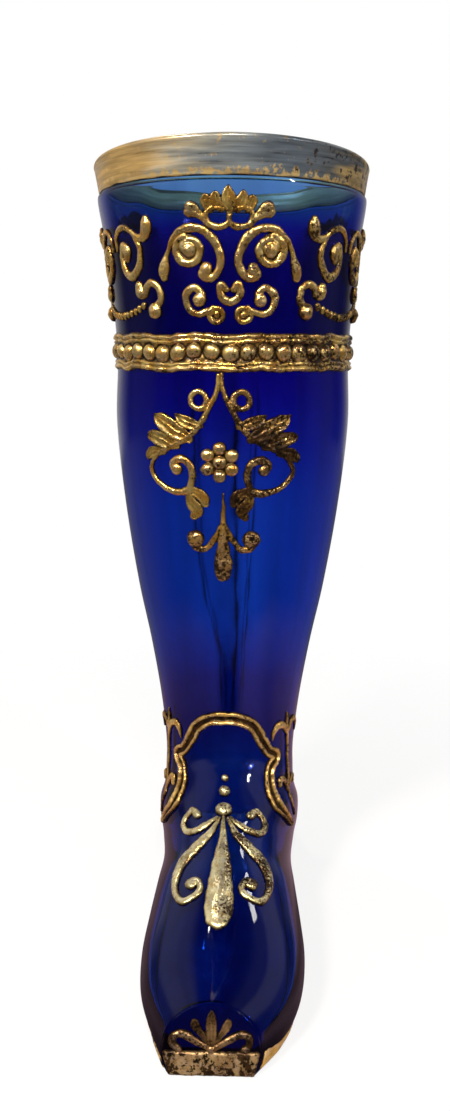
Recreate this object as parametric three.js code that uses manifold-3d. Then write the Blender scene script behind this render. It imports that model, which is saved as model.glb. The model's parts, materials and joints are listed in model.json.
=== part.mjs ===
// A blown cobalt glass boot with raised gilded ornament.
// Millimetres, +Z up, toe towards -Y, origin on the floor under the axis of the leg.
import * as THREE from "three";
import { mergeVertices } from "three/addons/utils/BufferGeometryUtils.js";
import Module from "manifold-3d";

// Leg: heights above the floor, drops below the rim and outside radii of the glass
const RIM_HEIGHT = 276.8;
const RIM_RISE = 2.6;
const RIM_RADIUS = 49.4;
const MOUTH_SWING = 1;
const BAND_HEIGHT = 10.3;
const BAND_FOOT_RADIUS = 47.8;
const SHOULDER_DROP = 2.4;
const SHOULDER_RADIUS = 48.8;
const CUFF_DROP = 32.8;
const CUFF_RADIUS = 45.9;
const BELT_DROP = 64.6;
const BELT_SEAT_RADIUS = 43.6;
const CALF_DROP = 90.8;
const CALF_RADIUS = 44.3;
const SHIN_HEIGHT = 123.5;
const SHIN_RADIUS = 37;
const SMALL_HEIGHT = 76;
const SMALL_RADIUS = 28.6;
const ANKLE_HEIGHT = 51;
const ANKLE_RADIUS = 26.4;
const ANKLE_FRONT_RISE = 9.5;
const ANKLE_FRONT_REACH = 29.5;

// Foot: reach forwards and backwards from the axis of the leg, heights and half widths
const TOE_REACH = 122.4;
const TOE_LEAN = 4.4;
const TOE_HEIGHT = 21.6;
const TOE_HALF_WIDTH = 14.9;
const TOE_SWING = 1.6;
const BALL_REACH = 78;
const BALL_HALF_WIDTH = 27.9;
const VAMP_REACH = 90;
const VAMP_HEIGHT = 30.5;
const INSTEP_REACH = 50;
const INSTEP_HEIGHT = 43.5;
const WAIST_HALF_WIDTH = 25.4;
const ARCH_HEIGHT = 4;
const HEEL_BREAST_REACH = 4;
const HEEL_REACH = 41;
const HEEL_HEIGHT = 13;
const HEEL_UNDERCUT = 3;
const HEEL_HALF_WIDTH = 28.9;

// Walls of the glass
const WALL = 3;
const SOLE_WALL = 6;

// Gilding
const CLEARANCE = 0.3;
const BAND_THICKNESS = 0.6;
const BELT_WIDTH = 12.8;
const BELT_THICKNESS = 0.5;
const BELT_EDGE = 2.6;
const BEAD_COUNT = 45;
const BEAD_WIDTH = 5;
const BEAD_RISE = 0.9;
const PLATE_HEIGHT = 7.2;
const PLATE_MARGIN = 0.7;
const PLATE_THICKNESS = 0.8;
const EDGE_THICKNESS = 0.6;

// How a section is divided: a sole is cut flat past a third of a turn, on a corner of the section
const SIDES = 30;
const SOLE_TURN = (2 * Math.PI) / 3;
const ROUND = 1;
const FLAT = -Math.cos(SOLE_TURN);
const STEPS = 2;
const STROKE_STEP = 3;
const BROAD = 4.5;
const SINK = 0.05;
const JOIN_TOLERANCE = 0.02;

const wasm = await Module();
wasm.setup();
const scene = new THREE.Group();

const cobalt = new THREE.MeshStandardMaterial({
  color: 0x14149a,
  roughness: 0.05,
  metalness: 0,
  transparent: true,
  opacity: 0.6,
});
const gilt = new THREE.MeshStandardMaterial({ color: 0xb98d3c, roughness: 0.35, metalness: 1 });
const bandGilt = new THREE.MeshStandardMaterial({ color: 0xc09a4a, roughness: 0.2, metalness: 1 });
const wornGilt = new THREE.MeshStandardMaterial({ color: 0x8f7236, roughness: 0.55, metalness: 1 });

function mix(a, b, share) {
  return a + (b - a) * share;
}

// A section of the boot runs from a front point to a back point, both given as (y, z), with a half width.
// Round 1 is an oval; a lower value cuts it flat along the back, which is the sole.
function section(front, back, half, round = ROUND, shift = 0) {
  return { frontY: front[0], frontZ: front[1], backY: back[0], backZ: back[1], half, round, shift };
}

function ring(height, radius, rise = 0, shift = 0) {
  return section([-radius, height + rise], [radius, height - rise], radius, ROUND, shift);
}

// The line down the front of the ankle to the instep, hollow like a bent shin.
function ankleFront(share) {
  const y = -mix(ANKLE_FRONT_REACH, INSTEP_REACH, share);
  return [y, mix(INSTEP_HEIGHT, ANKLE_HEIGHT + ANKLE_FRONT_RISE, (1 - share) ** 2)];
}

function instepFront(share) {
  return [-mix(INSTEP_REACH, VAMP_REACH, share), mix(INSTEP_HEIGHT, VAMP_HEIGHT, share)];
}

function vampFront(share) {
  return [-mix(VAMP_REACH, TOE_REACH - TOE_LEAN, share), mix(VAMP_HEIGHT, TOE_HEIGHT, share)];
}

function heelBack(out, down) {
  return [mix(ANKLE_RADIUS, HEEL_REACH, out), mix(ANKLE_HEIGHT, HEEL_HEIGHT, down)];
}

function heelSole(share) {
  return [mix(HEEL_REACH - HEEL_UNDERCUT, -HEEL_BREAST_REACH, share), 0];
}

function archSole(share, height) {
  return [-mix(HEEL_BREAST_REACH, BALL_REACH, share), height];
}

function toeSole(share) {
  return [-mix(BALL_REACH, TOE_REACH, share), 0];
}

function heelHalf(share) {
  return mix(HEEL_HALF_WIDTH, WAIST_HALF_WIDTH, share);
}

function waistHalf(share) {
  return mix(WAIST_HALF_WIDTH, BALL_HALF_WIDTH, share);
}

function toeHalf(share) {
  return mix(BALL_HALF_WIDTH, TOE_HALF_WIDTH, share);
}

const bandFoot = RIM_HEIGHT - BAND_HEIGHT;
const calfHeight = RIM_HEIGHT - CALF_DROP;
const stations = [
  ring(RIM_HEIGHT, RIM_RADIUS, RIM_RISE, -MOUTH_SWING),
  ring(bandFoot, BAND_FOOT_RADIUS, 0, -0.8 * MOUTH_SWING),
  ring(bandFoot - SHOULDER_DROP, SHOULDER_RADIUS, 0, -0.7 * MOUTH_SWING),
  ring(RIM_HEIGHT - CUFF_DROP, CUFF_RADIUS, 0, -0.4 * MOUTH_SWING),
  ring(RIM_HEIGHT - BELT_DROP, BELT_SEAT_RADIUS),
  ring(calfHeight, CALF_RADIUS),
  ring(mix(calfHeight, SHIN_HEIGHT, 0.5), mix(CALF_RADIUS, SHIN_RADIUS, 0.38)),
  ring(SHIN_HEIGHT, SHIN_RADIUS),
  ring(mix(SHIN_HEIGHT, SMALL_HEIGHT, 0.5), mix(SHIN_RADIUS, SMALL_RADIUS, 0.55)),
  ring(SMALL_HEIGHT, SMALL_RADIUS),
  section(ankleFront(0), heelBack(0, 0), ANKLE_RADIUS),
  section(ankleFront(0.22), heelBack(0.26, 0.42), ANKLE_RADIUS),
  section(ankleFront(0.46), heelBack(0.76, 0.74), mix(ANKLE_RADIUS, HEEL_HALF_WIDTH, 0.25)),
  section(ankleFront(0.71), heelBack(1, 1), HEEL_HALF_WIDTH, mix(ROUND, FLAT, 0.1)),
  section(instepFront(0), heelSole(0), HEEL_HALF_WIDTH, mix(ROUND, FLAT, 0.5)),
  section(instepFront(0.16), heelSole(0.48), heelHalf(0.5), FLAT),
  section(instepFront(0.35), heelSole(1), heelHalf(1), FLAT),
  section(instepFront(0.55), archSole(0.35, ARCH_HEIGHT), waistHalf(0.2), FLAT),
  section(instepFront(0.76), archSole(0.68, 0), waistHalf(0.78), FLAT),
  section(vampFront(0), toeSole(0), toeHalf(0), FLAT),
  section(vampFront(0.36), toeSole(0.45), toeHalf(0.16), FLAT, -0.2 * TOE_SWING),
  section(vampFront(0.71), toeSole(0.77), toeHalf(0.58), FLAT, -0.5 * TOE_SWING),
  section(vampFront(1), toeSole(1), toeHalf(1), FLAT, -TOE_SWING),
];
const SHOULDER = 2;
const BELT = 4;
const ANKLE = 10;
const HEEL_TREAD = 15;
const TOE = stations.length - 1;

// A uniform Catmull-Rom curve through one value of every station.
function along(name, k) {
  const i = Math.min(Math.floor(k), TOE - 1);
  const t = k - i;
  const b = stations[i][name];
  const c = stations[i + 1][name];
  const a = i > 0 ? stations[i - 1][name] : 2 * b - c;
  const d = i + 2 <= TOE ? stations[i + 2][name] : 2 * c - b;
  return b + 0.5 * t * (c - a + t * (2 * a - 5 * b + 4 * c - d + t * (3 * (b - c) + d - a)));
}

// The point of the glass at station k, turned from the front, with walls taken off the sides and the back.
function skin(k, turn, wall = 0, backWall = 0) {
  const front = new THREE.Vector2(along("frontY", k), along("frontZ", k));
  const back = new THREE.Vector2(along("backY", k), along("backZ", k));
  const round = Math.min(ROUND, Math.max(FLAT, along("round", k)));
  const depth = front.distanceTo(back);
  const share = Math.max(0, (Math.cos(turn) + round) / (1 + round));
  const at = back.lerp(front, (backWall + share * (depth - wall - backWall)) / depth);
  const x = along("shift", k) + Math.sin(turn) * (along("half", k) - wall);
  return new THREE.Vector3(x, at.x, Math.max(at.y, 0));
}

// The same point, lifted straight off the outside of the glass.
function lifted(k, turn, lift) {
  const small = 0.02;
  const alongBoot = skin(Math.min(k + small, TOE), turn).sub(skin(Math.max(k - small, 0), turn));
  const roundBoot = skin(k, turn + small).sub(skin(k, turn - small));
  return skin(k, turn).addScaledVector(alongBoot.cross(roundBoot).normalize(), lift);
}

// Closed solids from rows of points, turned so that their faces look outwards

function solid(points, faces) {
  let volume = 0;
  for (let i = 0; i < faces.length; i += 3) {
    const [a, b, c] = [0, 1, 2].map((j) => points[faces[i + j]]);
    volume += a.dot(new THREE.Vector3().crossVectors(b, c));
  }
  const g = new THREE.BufferGeometry();
  g.setAttribute("position", new THREE.Float32BufferAttribute(points.flatMap((p) => p.toArray()), 3));
  g.setIndex(volume < 0 ? faces.reverse() : faces);
  return g;
}

function bridge(faces, rows, sides, closed) {
  const last = closed ? rows : rows - 1;
  for (let i = 0; i < last; i++) {
    for (let j = 0; j < sides; j++) {
      const a = i * sides + j;
      const b = i * sides + ((j + 1) % sides);
      const c = ((i + 1) % rows) * sides + j;
      const d = ((i + 1) % rows) * sides + ((j + 1) % sides);
      faces.push(a, c, b, b, c, d);
    }
  }
}

// A row's own points joined to their centre.
function fan(points, faces, start, sides, flip) {
  const centre = new THREE.Vector3();
  points.slice(start, start + sides).forEach((p) => centre.addScaledVector(p, 1 / sides));
  const hub = points.push(centre) - 1;
  for (let j = 0; j < sides; j++) {
    const a = start + j;
    const b = start + ((j + 1) % sides);
    faces.push(hub, ...(flip ? [b, a] : [a, b]));
  }
}

// Rows of points joined in turn, with the first and the last row closed.
function bar(rows) {
  const sides = rows[0].length;
  const points = rows.flat();
  const faces = [];
  bridge(faces, rows.length, sides, false);
  fan(points, faces, 0, sides, false);
  fan(points, faces, (rows.length - 1) * sides, sides, true);
  return solid(points, faces);
}

// Rows of points joined in turn, the last row to the first.
function hoop(rows) {
  const faces = [];
  bridge(faces, rows.length, rows[0].length, true);
  return solid(rows.flat(), faces);
}

function joined(parts) {
  const solids = parts.map((g) => {
    const m = mergeVertices(g, 1e-4);
    const triVerts = new Uint32Array(m.index.array);
    const vertProperties = m.attributes.position.array;
    return new wasm.Manifold(new wasm.Mesh({ numProp: 3, vertProperties, triVerts }));
  });
  const mesh = solids.reduce((a, b) => a.add(b)).simplify(JOIN_TOLERANCE).getMesh();
  const g = new THREE.BufferGeometry();
  g.setAttribute("position", new THREE.BufferAttribute(mesh.vertProperties, 3));
  g.setIndex(new THREE.BufferAttribute(mesh.triVerts, 1));
  return g;
}

function add(name, material, ...parts) {
  const mesh = new THREE.Mesh(parts.length > 1 ? joined(parts) : parts[0], material);
  mesh.name = name;
  scene.add(mesh);
}

// The blown body: an inside and an outside wall, joined over the lip, with a solid toe

function glassRing(k, wall, backWall) {
  return Array.from({ length: SIDES }, (_, j) => skin(k, (j / SIDES) * 2 * Math.PI, wall, backWall));
}

function backWall(round) {
  return mix(WALL, SOLE_WALL, (ROUND - round) / (ROUND - FLAT));
}

const inside = stations.slice(0, TOE).map((s, k) => glassRing(k, WALL, backWall(s.round)));
const outside = Array.from({ length: TOE * STEPS + 1 }, (_, i) => glassRing(i / STEPS, 0, 0));
add("glass_boot", cobalt, bar([...inside.reverse(), ...outside]));

// Distance down the front line of the boot, and the station at a distance

const LINE_STEPS = 20;
const frontLine = [0];
for (let i = 1; i <= TOE * LINE_STEPS; i++) {
  const step = skin(i / LINE_STEPS, 0).distanceTo(skin((i - 1) / LINE_STEPS, 0));
  frontLine.push(frontLine[i - 1] + step);
}

function downTo(k) {
  return frontLine[k * LINE_STEPS];
}

function stationAt(down) {
  const past = frontLine.findIndex((d) => d > down);
  const i = past < 0 ? frontLine.length - 1 : Math.max(past, 1);
  return (i - 1 + (down - frontLine[i - 1]) / (frontLine[i] - frontLine[i - 1])) / LINE_STEPS;
}

// Gilt band round the mouth, in a shallow seat above the shoulder

const BAND_ROWS = 4;
const BAND_FROM = 0.03;
const BAND_TO = 0.95;
const bandShares = Array.from({ length: BAND_ROWS }, (_, i) => mix(BAND_FROM, BAND_TO, i / (BAND_ROWS - 1)));
const bandRows = Array.from({ length: SIDES }, (_, j) => {
  const turn = (j / SIDES) * 2 * Math.PI;
  const outer = bandShares.map((k) => lifted(k, turn, CLEARANCE + BAND_THICKNESS));
  const inner = bandShares.map((k) => lifted(k, turn, CLEARANCE));
  return [...outer, ...inner.reverse()];
});
add("rim_band", bandGilt, hoop(bandRows));

// Belt: a row of beads between two mouldings

const beltMiddle = downTo(BELT);
const beltTop = beltMiddle - BELT_WIDTH / 2;
const beltFoot = beltMiddle + BELT_WIDTH / 2;
const BEAD_STEPS = 2;
const beltRows = Array.from({ length: BEAD_COUNT * BEAD_STEPS }, (_, j) => {
  const turn = (j / (BEAD_COUNT * BEAD_STEPS)) * 2 * Math.PI;
  const bulge = Math.sin((Math.PI * (j % BEAD_STEPS)) / BEAD_STEPS);
  const field = CLEARANCE + BELT_THICKNESS;
  const outline = [
    [beltTop, CLEARANCE],
    [beltTop + BELT_EDGE / 2, field + BEAD_RISE / 2],
    [beltTop + BELT_EDGE, field],
    [beltMiddle - BEAD_WIDTH / 4, field + BEAD_RISE * bulge],
    [beltMiddle + BEAD_WIDTH / 4, field + BEAD_RISE * bulge],
    [beltFoot - BELT_EDGE, field],
    [beltFoot - BELT_EDGE / 2, field + BEAD_RISE / 2],
    [beltFoot, CLEARANCE],
  ];
  return outline.map(([down, lift]) => lifted(stationAt(down), turn, lift));
});
add("beaded_belt", gilt, hoop(beltRows));

// Drawing on the glass: a sheet turns a place u across and v down into a point at a height off the glass

function sheetOn(start, turnOf) {
  return (u, v, lift) => {
    const k = stationAt(start + v);
    return lifted(k, turnOf(u, k), CLEARANCE + lift);
  };
}

// Height of a raised line by its width, as thick paste stands when it is trailed on.
function riseOf(width) {
  return Math.min(0.2 + 0.27 * width, 1.8);
}

// A raised line through a few places, each given as u, v and the width there.
function stroke(sheet, side, places) {
  const knots = places.map(([u, v, width]) => new THREE.Vector3(side * u, v, width));
  const path = new THREE.CatmullRomCurve3(knots, false, "centripetal");
  const steps = Math.max(2, Math.round(path.getLength() / STROKE_STEP));
  const broad = Math.max(...knots.map((knot) => knot.z)) > BROAD;
  const rows = Array.from({ length: steps + 1 }, (_, i) => {
    const at = path.getPoint(i / steps);
    const ahead = path.getTangent(i / steps);
    const across = new THREE.Vector2(-ahead.y, ahead.x).normalize().multiplyScalar(at.z / 2);
    const place = (share, lift) => sheet(at.x + share * across.x, at.y + share * across.y, lift);
    const rise = riseOf(at.z);
    if (broad) {
      return [place(1, -SINK), place(0.5, rise), place(-0.5, rise), place(-1, -SINK), place(0, -SINK)];
    }
    return [place(1, 0), place(0, rise), place(-1, 0)];
  });
  return bar(rows);
}

// A round dome of gilt, flat on top.
const DOME_SIDES = 7;
const DOME_TOP = 0.62;
function bead(sheet, u, v, radius) {
  const circle = (share, lift) =>
    Array.from({ length: DOME_SIDES }, (_, j) => {
      const a = (j / DOME_SIDES) * 2 * Math.PI;
      return sheet(u + share * radius * Math.cos(a), v + share * radius * Math.sin(a), lift);
    });
  return bar([circle(1, -2 * SINK), circle(DOME_TOP, DOME_TOP * radius)]);
}

// Places along a coil about a centre, from one radius to another over a sweep in degrees.
function coil([u, v], from, to, start, sweep, width) {
  const count = Math.ceil(Math.abs(sweep) / 45);
  return Array.from({ length: count + 1 }, (_, i) => {
    const a = THREE.MathUtils.degToRad(start + (sweep * i) / count);
    const r = mix(from, to, (i / count) ** 3);
    return [u + r * Math.cos(a), v + r * Math.sin(a), width];
  });
}

const SIDE = { left: -1, right: 1 };

// Cuff: a crowned spray of scrolls that repeats round the leg.
// Places are per cent of half a repeat across and of the cuff's height down, with widths in millimetres.

const cuffPlaces = ["front", "right", "left"];
const cuffTop = downTo(SHOULDER);
const cuffDrop = beltTop - cuffTop;
const halfRepeat = (Math.PI * CUFF_RADIUS) / cuffPlaces.length;

function onCuff([u, v, width]) {
  return [(u / 100) * halfRepeat, (v / 100) * cuffDrop, width];
}

cuffPlaces.forEach((place, repeat) => {
  const sheet = sheetOn(cuffTop, (u) => (u + 2 * repeat * halfRepeat) / CUFF_RADIUS);
  const line = (side, places) => stroke(sheet, side, places.map(onCuff));
  const dot = (side, [u, v, radius]) => bead(sheet, side * u, v, radius);
  const name = "cuff_" + place;

  const bud = [[0, 1.7, 0.8], [0, 6.5, 4.4], [0, 13.1, 4.2], [0, 18.3, 2], [0, 27.5, 1.6]];
  const petal = [
    [0, 27, 1.8], [5.3, 30.9, 1.9], [11.9, 28.3, 2], [15.4, 20, 1.9], [13.2, 10, 2.2], [8, 4.8, 2],
    [4.1, 12.2, 1.6],
  ];
  const wing = [[13.6, 24.8, 1.6], [18.5, 22.7, 2], [22.6, 17.9, 2.4], [27.2, 15.9, 4], [29.2, 16.6, 2.4]];
  const petals = Object.values(SIDE).map((side) => line(side, petal));
  const wings = Object.values(SIDE).map((side) => line(side, wing));
  add(name + "_crown", gilt, line(1, bud), ...petals, ...wings);

  const heartHalf = [[2.7, 69.7, 2], [5.6, 66.7, 2.2], [7.4, 70.6, 2.2], [5.1, 76, 2.3]];
  const heartMirror = heartHalf.map(([u, v, width]) => [-u, v, width]).reverse();
  add(name + "_heart", gilt, line(1, [...heartHalf, [0, 78.2, 2.4], ...heartMirror]));

  for (const [half, side] of Object.entries(SIDE)) {
    const arch = [
      [48.1, 61, 2.4], [47.7, 55.8, 3.2], [44.4, 45.8, 1.6], [39.5, 35.3, 1.7], [31.9, 29.2, 2.1],
      [24.7, 27.9, 2.3], [16.5, 30.5, 2.4], [9.5, 38.1, 2.4], [6.2, 47.9, 2.3], [7.4, 56.6, 2.2],
      [12.8, 61.9, 2.4], [18.1, 59.7, 3], [16, 55.3, 3.2],
    ];
    const boss = onCuff([28, 42.7, 2.3]);
    const eye = coil(boss, 4.5, 0.8, -75, 470, 2.1);
    add(`${name}_spiral_${half}`, gilt, line(side, arch), stroke(sheet, side, eye), dot(side, boss));

    const lower = [
      [21, 77.6, 3.2], [20.2, 72.3, 2.2], [25.5, 68.4, 2.2], [31.5, 73.6, 2.3], [29.8, 82.8, 2.1],
      [22.6, 87.1, 2], [15.6, 85, 1.9], [10.7, 87.1, 2],
    ];
    add(`${name}_lower_scroll_${half}`, gilt, line(side, lower), dot(side, onCuff([9.5, 87.6, 2.9])));

    const comma = [
      [59.5, 20.5, 2.2], [59.7, 25.3, 3.8], [63.8, 32.9, 2.4], [71.2, 30.9, 1.8], [79.4, 25.3, 1.8],
      [88.5, 24.8, 1.8], [94.7, 30.9, 1.6], [96.1, 39.2, 1.2],
    ];
    const loop = [
      [72.4, 30.1, 1.6], [68.1, 40.5, 2], [70.4, 52.3, 2.4], [78.2, 59.3, 2.8], [86.8, 54.5, 2.4],
      [89.7, 44.4, 2], [86, 37, 2.4], [81.9, 41.8, 3.4], [82.7, 46.2, 2.6],
    ];
    add(`${name}_comma_${half}`, gilt, line(side, comma), line(side, loop));

    const curl = [
      [56.4, 81.5, 2.2], [52.3, 76.7, 2.2], [53.1, 68.8, 2.2], [58.8, 64.5, 2.2], [64.2, 67.1, 2.2],
      [66.7, 72.3, 2.4], [70.8, 71, 3.6], [72, 66.7, 3],
    ];
    add(`${name}_curl_${half}`, gilt, line(side, curl), dot(side, onCuff([57.6, 84.5, 2.6])));
  }

  const SEEDS = 13;
  const links = 2 * SEEDS - 2;
  const chain = Array.from({ length: links + 1 }, (_, i) => {
    const share = (2 * i) / links - 1;
    return onCuff([100 + 31.3 * share, 87.1 - 7 * share ** 2, i % 2 ? 0.8 : 2.5]);
  });
  const chainRows = chain.map(([u, v, width]) => [
    sheet(u, v - width / 2, 0),
    sheet(u, v + width / 2, 0),
    sheet(u, v, riseOf(width)),
  ]);
  add(name + "_seed_swag", gilt, bar(chainRows));
});

// Leg: two leafy sprays round a rosette, and a drop with two arms, under the belt

const LEG_CENTRE = -3.4;
const legSheet = sheetOn(beltFoot, (u, k) => (u + LEG_CENTRE) / along("half", k));
for (const [half, side] of Object.entries(SIDE)) {
  const arm = [
    [0.9, 1.8, 0.9], [1.5, 5, 1.4], [3, 9.2, 1.7], [5.2, 13.9, 1.9], [8.4, 18.9, 2], [13.2, 23.2, 2],
    [19.2, 26.1, 1.9], [23.8, 28.9, 1.6], [26, 32.9, 1.5], [24.4, 36.8, 1.6], [20.1, 40.2, 1.9],
    [13.8, 41.4, 2.2], [10.6, 40.2, 2.2],
  ];
  const loop = coil([7.4, 9.4], 2.9, 2.9, 20, -345, 1.7);
  const inner = [
    [10.6, 40.2, 2.2], [9.6, 34.8, 2.2], [11, 31, 2.2], [14.3, 29.6, 2.4], [16.8, 31.4, 2.6], [15.5, 33.3, 3.4],
  ];
  const leaves = [
    [[4.4, 12.2, 1.6], [5.8, 11.6, 1.6]],
    [[8, 18.2, 2], [10.6, 16, 4], [13.5, 13.8, 1.4]],
    [[10.8, 20.7, 2.4], [16, 17.6, 5.2], [22.2, 14.2, 1.2]],
    [[14.8, 23.6, 2.6], [19.6, 21.8, 5], [24.6, 21, 1.6]],
    [[19.6, 26.2, 2.4], [22.6, 26, 4], [25.4, 27.3, 1.6]],
    [[11, 41, 2], [7.2, 40, 2.4], [4.9, 43, 2.6], [6.3, 46, 2]],
    [[10.2, 41.2, 1.8], [9.6, 45.2, 2.2], [8.7, 49, 3]],
  ];
  const parts = [arm, loop, inner, ...leaves].map((places) => stroke(legSheet, side, places));
  add("leg_spray_" + half, gilt, ...parts);
}

const ROSETTE_DOWN = 30.4;
const ROSETTE_RADIUS = 4.4;
const ROSETTE_BEADS = 6;
const rosette = [bead(legSheet, 0, ROSETTE_DOWN, 1.9)];
for (let i = 0; i < ROSETTE_BEADS; i++) {
  const a = ((i + 0.5) / ROSETTE_BEADS) * 2 * Math.PI;
  const at = [ROSETTE_RADIUS * Math.cos(a), ROSETTE_DOWN + ROSETTE_RADIUS * Math.sin(a)];
  rosette.push(bead(legSheet, ...at, 1.75), stroke(legSheet, 1, [[0, ROSETTE_DOWN, 1.4], [...at, 1.4]]));
}
add("leg_rosette", gilt, ...rosette);

const LEG_DROP_CENTRE = 1.3;
const dropSheet = (u, v, lift) => legSheet(u + LEG_DROP_CENTRE, v, lift);
const legDrop = [
  [0, 41.4, 0.8], [0, 48.5, 1.8], [0, 56.4, 3.2], [0, 63.2, 5.4], [0, 68, 6.6], [0, 71.2, 5.8], [0, 72.9, 2.4],
];
const legArm = [[0.8, 52.6, 1], [3.4, 58.4, 1.7], [6.4, 61.8, 2], [9.8, 61.4, 2.2], [11.8, 58.6, 2.4]];
const legArms = Object.values(SIDE).flatMap((side) => [
  stroke(dropSheet, side, legArm),
  bead(dropSheet, side * 10, 58.4, 2.8),
]);
add("leg_drop", gilt, stroke(dropSheet, 1, legDrop), ...legArms);

// Ankle and instep, drawn from a line above the ankle

const ANKLE_LINE = 22.3;
const FOOT_CENTRE = -1.1;
const footSheet = sheetOn(downTo(ANKLE) - ANKLE_LINE, (u, k) => (u + FOOT_CENTRE) / along("half", k));

// The cartouche is one moulding of two ridges with a groove between them.
const CARTOUCHE_WIDTH = 5.2;
const CARTOUCHE_RIDGE = 1.3;
const CARTOUCHE_GROOVE = 0.5;
const CARTOUCHE_STEPS = 44;
const cartoucheHalf = [
  [6.8, 8.8], [11.6, 12.5], [14.7, 17.9], [17.6, 21.9], [21.4, 24.5], [18.9, 28.2], [18, 32.5], [19.2, 38],
  [22.5, 44.2], [30.6, 51.8],
];
const cartoucheMirror = cartoucheHalf.map(([u, v]) => [-u, v]).reverse();
const cartouche = [...cartoucheMirror, [0, 7.6], ...cartoucheHalf];
const cartoucheKnots = cartouche.map(([u, v]) => new THREE.Vector3(u, v, 0));
const cartoucheLine = new THREE.CatmullRomCurve3(cartoucheKnots, false, "centripetal");
const cartoucheRows = Array.from({ length: CARTOUCHE_STEPS + 1 }, (_, i) => {
  const at = cartoucheLine.getPoint(i / CARTOUCHE_STEPS);
  const ahead = cartoucheLine.getTangent(i / CARTOUCHE_STEPS);
  const taper = Math.min(1, 0.3 + (3 * Math.min(i, CARTOUCHE_STEPS - i)) / CARTOUCHE_STEPS);
  const half = (taper * CARTOUCHE_WIDTH) / 2;
  const place = (share, lift) => footSheet(at.x - share * half * ahead.y, at.y + share * half * ahead.x, lift);
  return [
    place(1, 0),
    place(0.68, CARTOUCHE_RIDGE),
    place(0.1, CARTOUCHE_GROOVE),
    place(-0.1, CARTOUCHE_GROOVE),
    place(-0.68, CARTOUCHE_RIDGE),
    place(-1, 0),
    place(0, 0),
  ];
});
add("ankle_cartouche", gilt, bar(cartoucheRows));

for (const [half, side] of Object.entries(SIDE)) {
  const spray = [
    [[27.6, 9.5, 0.9], [29, 16.5, 1.8], [31, 24, 2], [30.4, 31, 2], [31.2, 38, 1.8], [36, 47, 1]],
    [[29, 16.6, 1.6], [26, 14, 2.4], [23, 13.8, 2.2], [20.6, 17, 0.9]],
    [[30.6, 35, 1.6], [27.6, 33, 2.8], [25.2, 35.6, 1.4]],
    [[29, 16.6, 1.6], [32, 14, 2.4], [35, 13.8, 2.2], [37.4, 17, 0.9]],
    [[30.6, 35, 1.6], [33.6, 33, 2.8], [36, 35.6, 1.4]],
  ];
  add("ankle_spray_" + half, gilt, ...spray.map((places) => stroke(footSheet, side, places)));

  const upper = [
    [4.3, 49.6, 1.2], [7.3, 52.8, 1.9], [10.9, 55.4, 2.2], [14.6, 56, 2.3], [15.8, 53, 1.9], [14.2, 48, 1.6],
    [11.6, 45.4, 2.6], [10.6, 47.4, 3.8],
  ];
  add("instep_upper_scroll_" + half, gilt, stroke(footSheet, side, upper));

  const lower = [
    [2.4, 50.8, 1], [5.2, 57, 2], [10.5, 63.4, 2.7], [15.6, 69.2, 2.8], [17.7, 75, 2.6], [17, 80.2, 2.3],
    [13.6, 83.8, 2.1], [9.3, 82.8, 2], [7, 79.4, 2], [8.4, 76.4, 2.4], [10.6, 77.6, 3.8],
  ];
  add("instep_lower_scroll_" + half, gilt, stroke(footSheet, side, lower));
}

const instepDrop = [
  [0, 49.2, 1.2], [0, 58, 3], [0, 68.4, 6.2], [0, 78, 8.4], [0, 86, 9.4], [0, 91, 8.2], [0, 94, 3.4],
];
add("instep_drop", gilt, stroke(footSheet, 1, instepDrop));
const instepBeads = { small: [31.4, 1.6], middle: [36.5, 2.3], large: [44.5, 3.4] };
for (const [size, [down, radius]] of Object.entries(instepBeads)) {
  add("instep_bead_" + size, gilt, bead(footSheet, 0, down, radius));
}

// Toe: a flat cut face with a palmette over a gilt plate. Here v is the height up the face.

const toeFoot = skin(TOE, Math.PI);
const toeTop = skin(TOE, 0);
const toeUp = toeTop.clone().sub(toeFoot).normalize();
const toeOut = new THREE.Vector3(1, 0, 0).cross(toeUp);
const toeFace = toeTop.distanceTo(toeFoot);
function toeSheet(u, v, lift) {
  const up = toeFoot.clone().addScaledVector(toeUp, v);
  return up.addScaledVector(toeOut, CLEARANCE + lift).setX(u - TOE_SWING);
}

const petalFoot = PLATE_HEIGHT + 4;
const petals = [
  [[0, petalFoot, 1.6], [0, petalFoot + 4.4, 2.6], [0, toeFace - 2, 0.8]],
  [[-0.6, petalFoot, 1.4], [-2.8, petalFoot + 2.6, 2.4], [-5, toeFace - 4.6, 1.8]],
  [[0.6, petalFoot, 1.4], [2.8, petalFoot + 2.6, 2.4], [5, toeFace - 4.6, 1.8]],
];
add("toe_palmette", gilt, ...petals.map((places) => stroke(toeSheet, 1, places)));
for (const [half, side] of Object.entries(SIDE)) {
  const scroll = [
    [2.2, 2.2, 1.2], [4.8, 3.8, 1.5], [8, 5.4, 1.8], [10.6, 5, 2], [11.4, 3, 1.9], [10.2, 1.6, 1.4],
  ];
  const raised = scroll.map(([u, v, width]) => [u, PLATE_HEIGHT + v, width]);
  add("toe_scroll_" + half, gilt, stroke(toeSheet, side, raised));
}
add("toe_bead", gilt, bead(toeSheet, 0, PLATE_HEIGHT + 1.9, 1.1));

const plateFootHalf = TOE_HALF_WIDTH * Math.sin(SOLE_TURN) - PLATE_MARGIN;
const plateTopHalf = TOE_HALF_WIDTH - 2 * PLATE_MARGIN;
const plateRows = [0, PLATE_THICKNESS].map((lift) => [
  toeSheet(-plateFootHalf, PLATE_MARGIN, lift),
  toeSheet(plateFootHalf, PLATE_MARGIN, lift),
  toeSheet(plateTopHalf, PLATE_HEIGHT, lift),
  toeSheet(-plateTopHalf, PLATE_HEIGHT, lift),
]);
add("toe_plate", wornGilt, bar(plateRows));

// Sole: the gilt edge along each side, from the toe back to the waist

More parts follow.
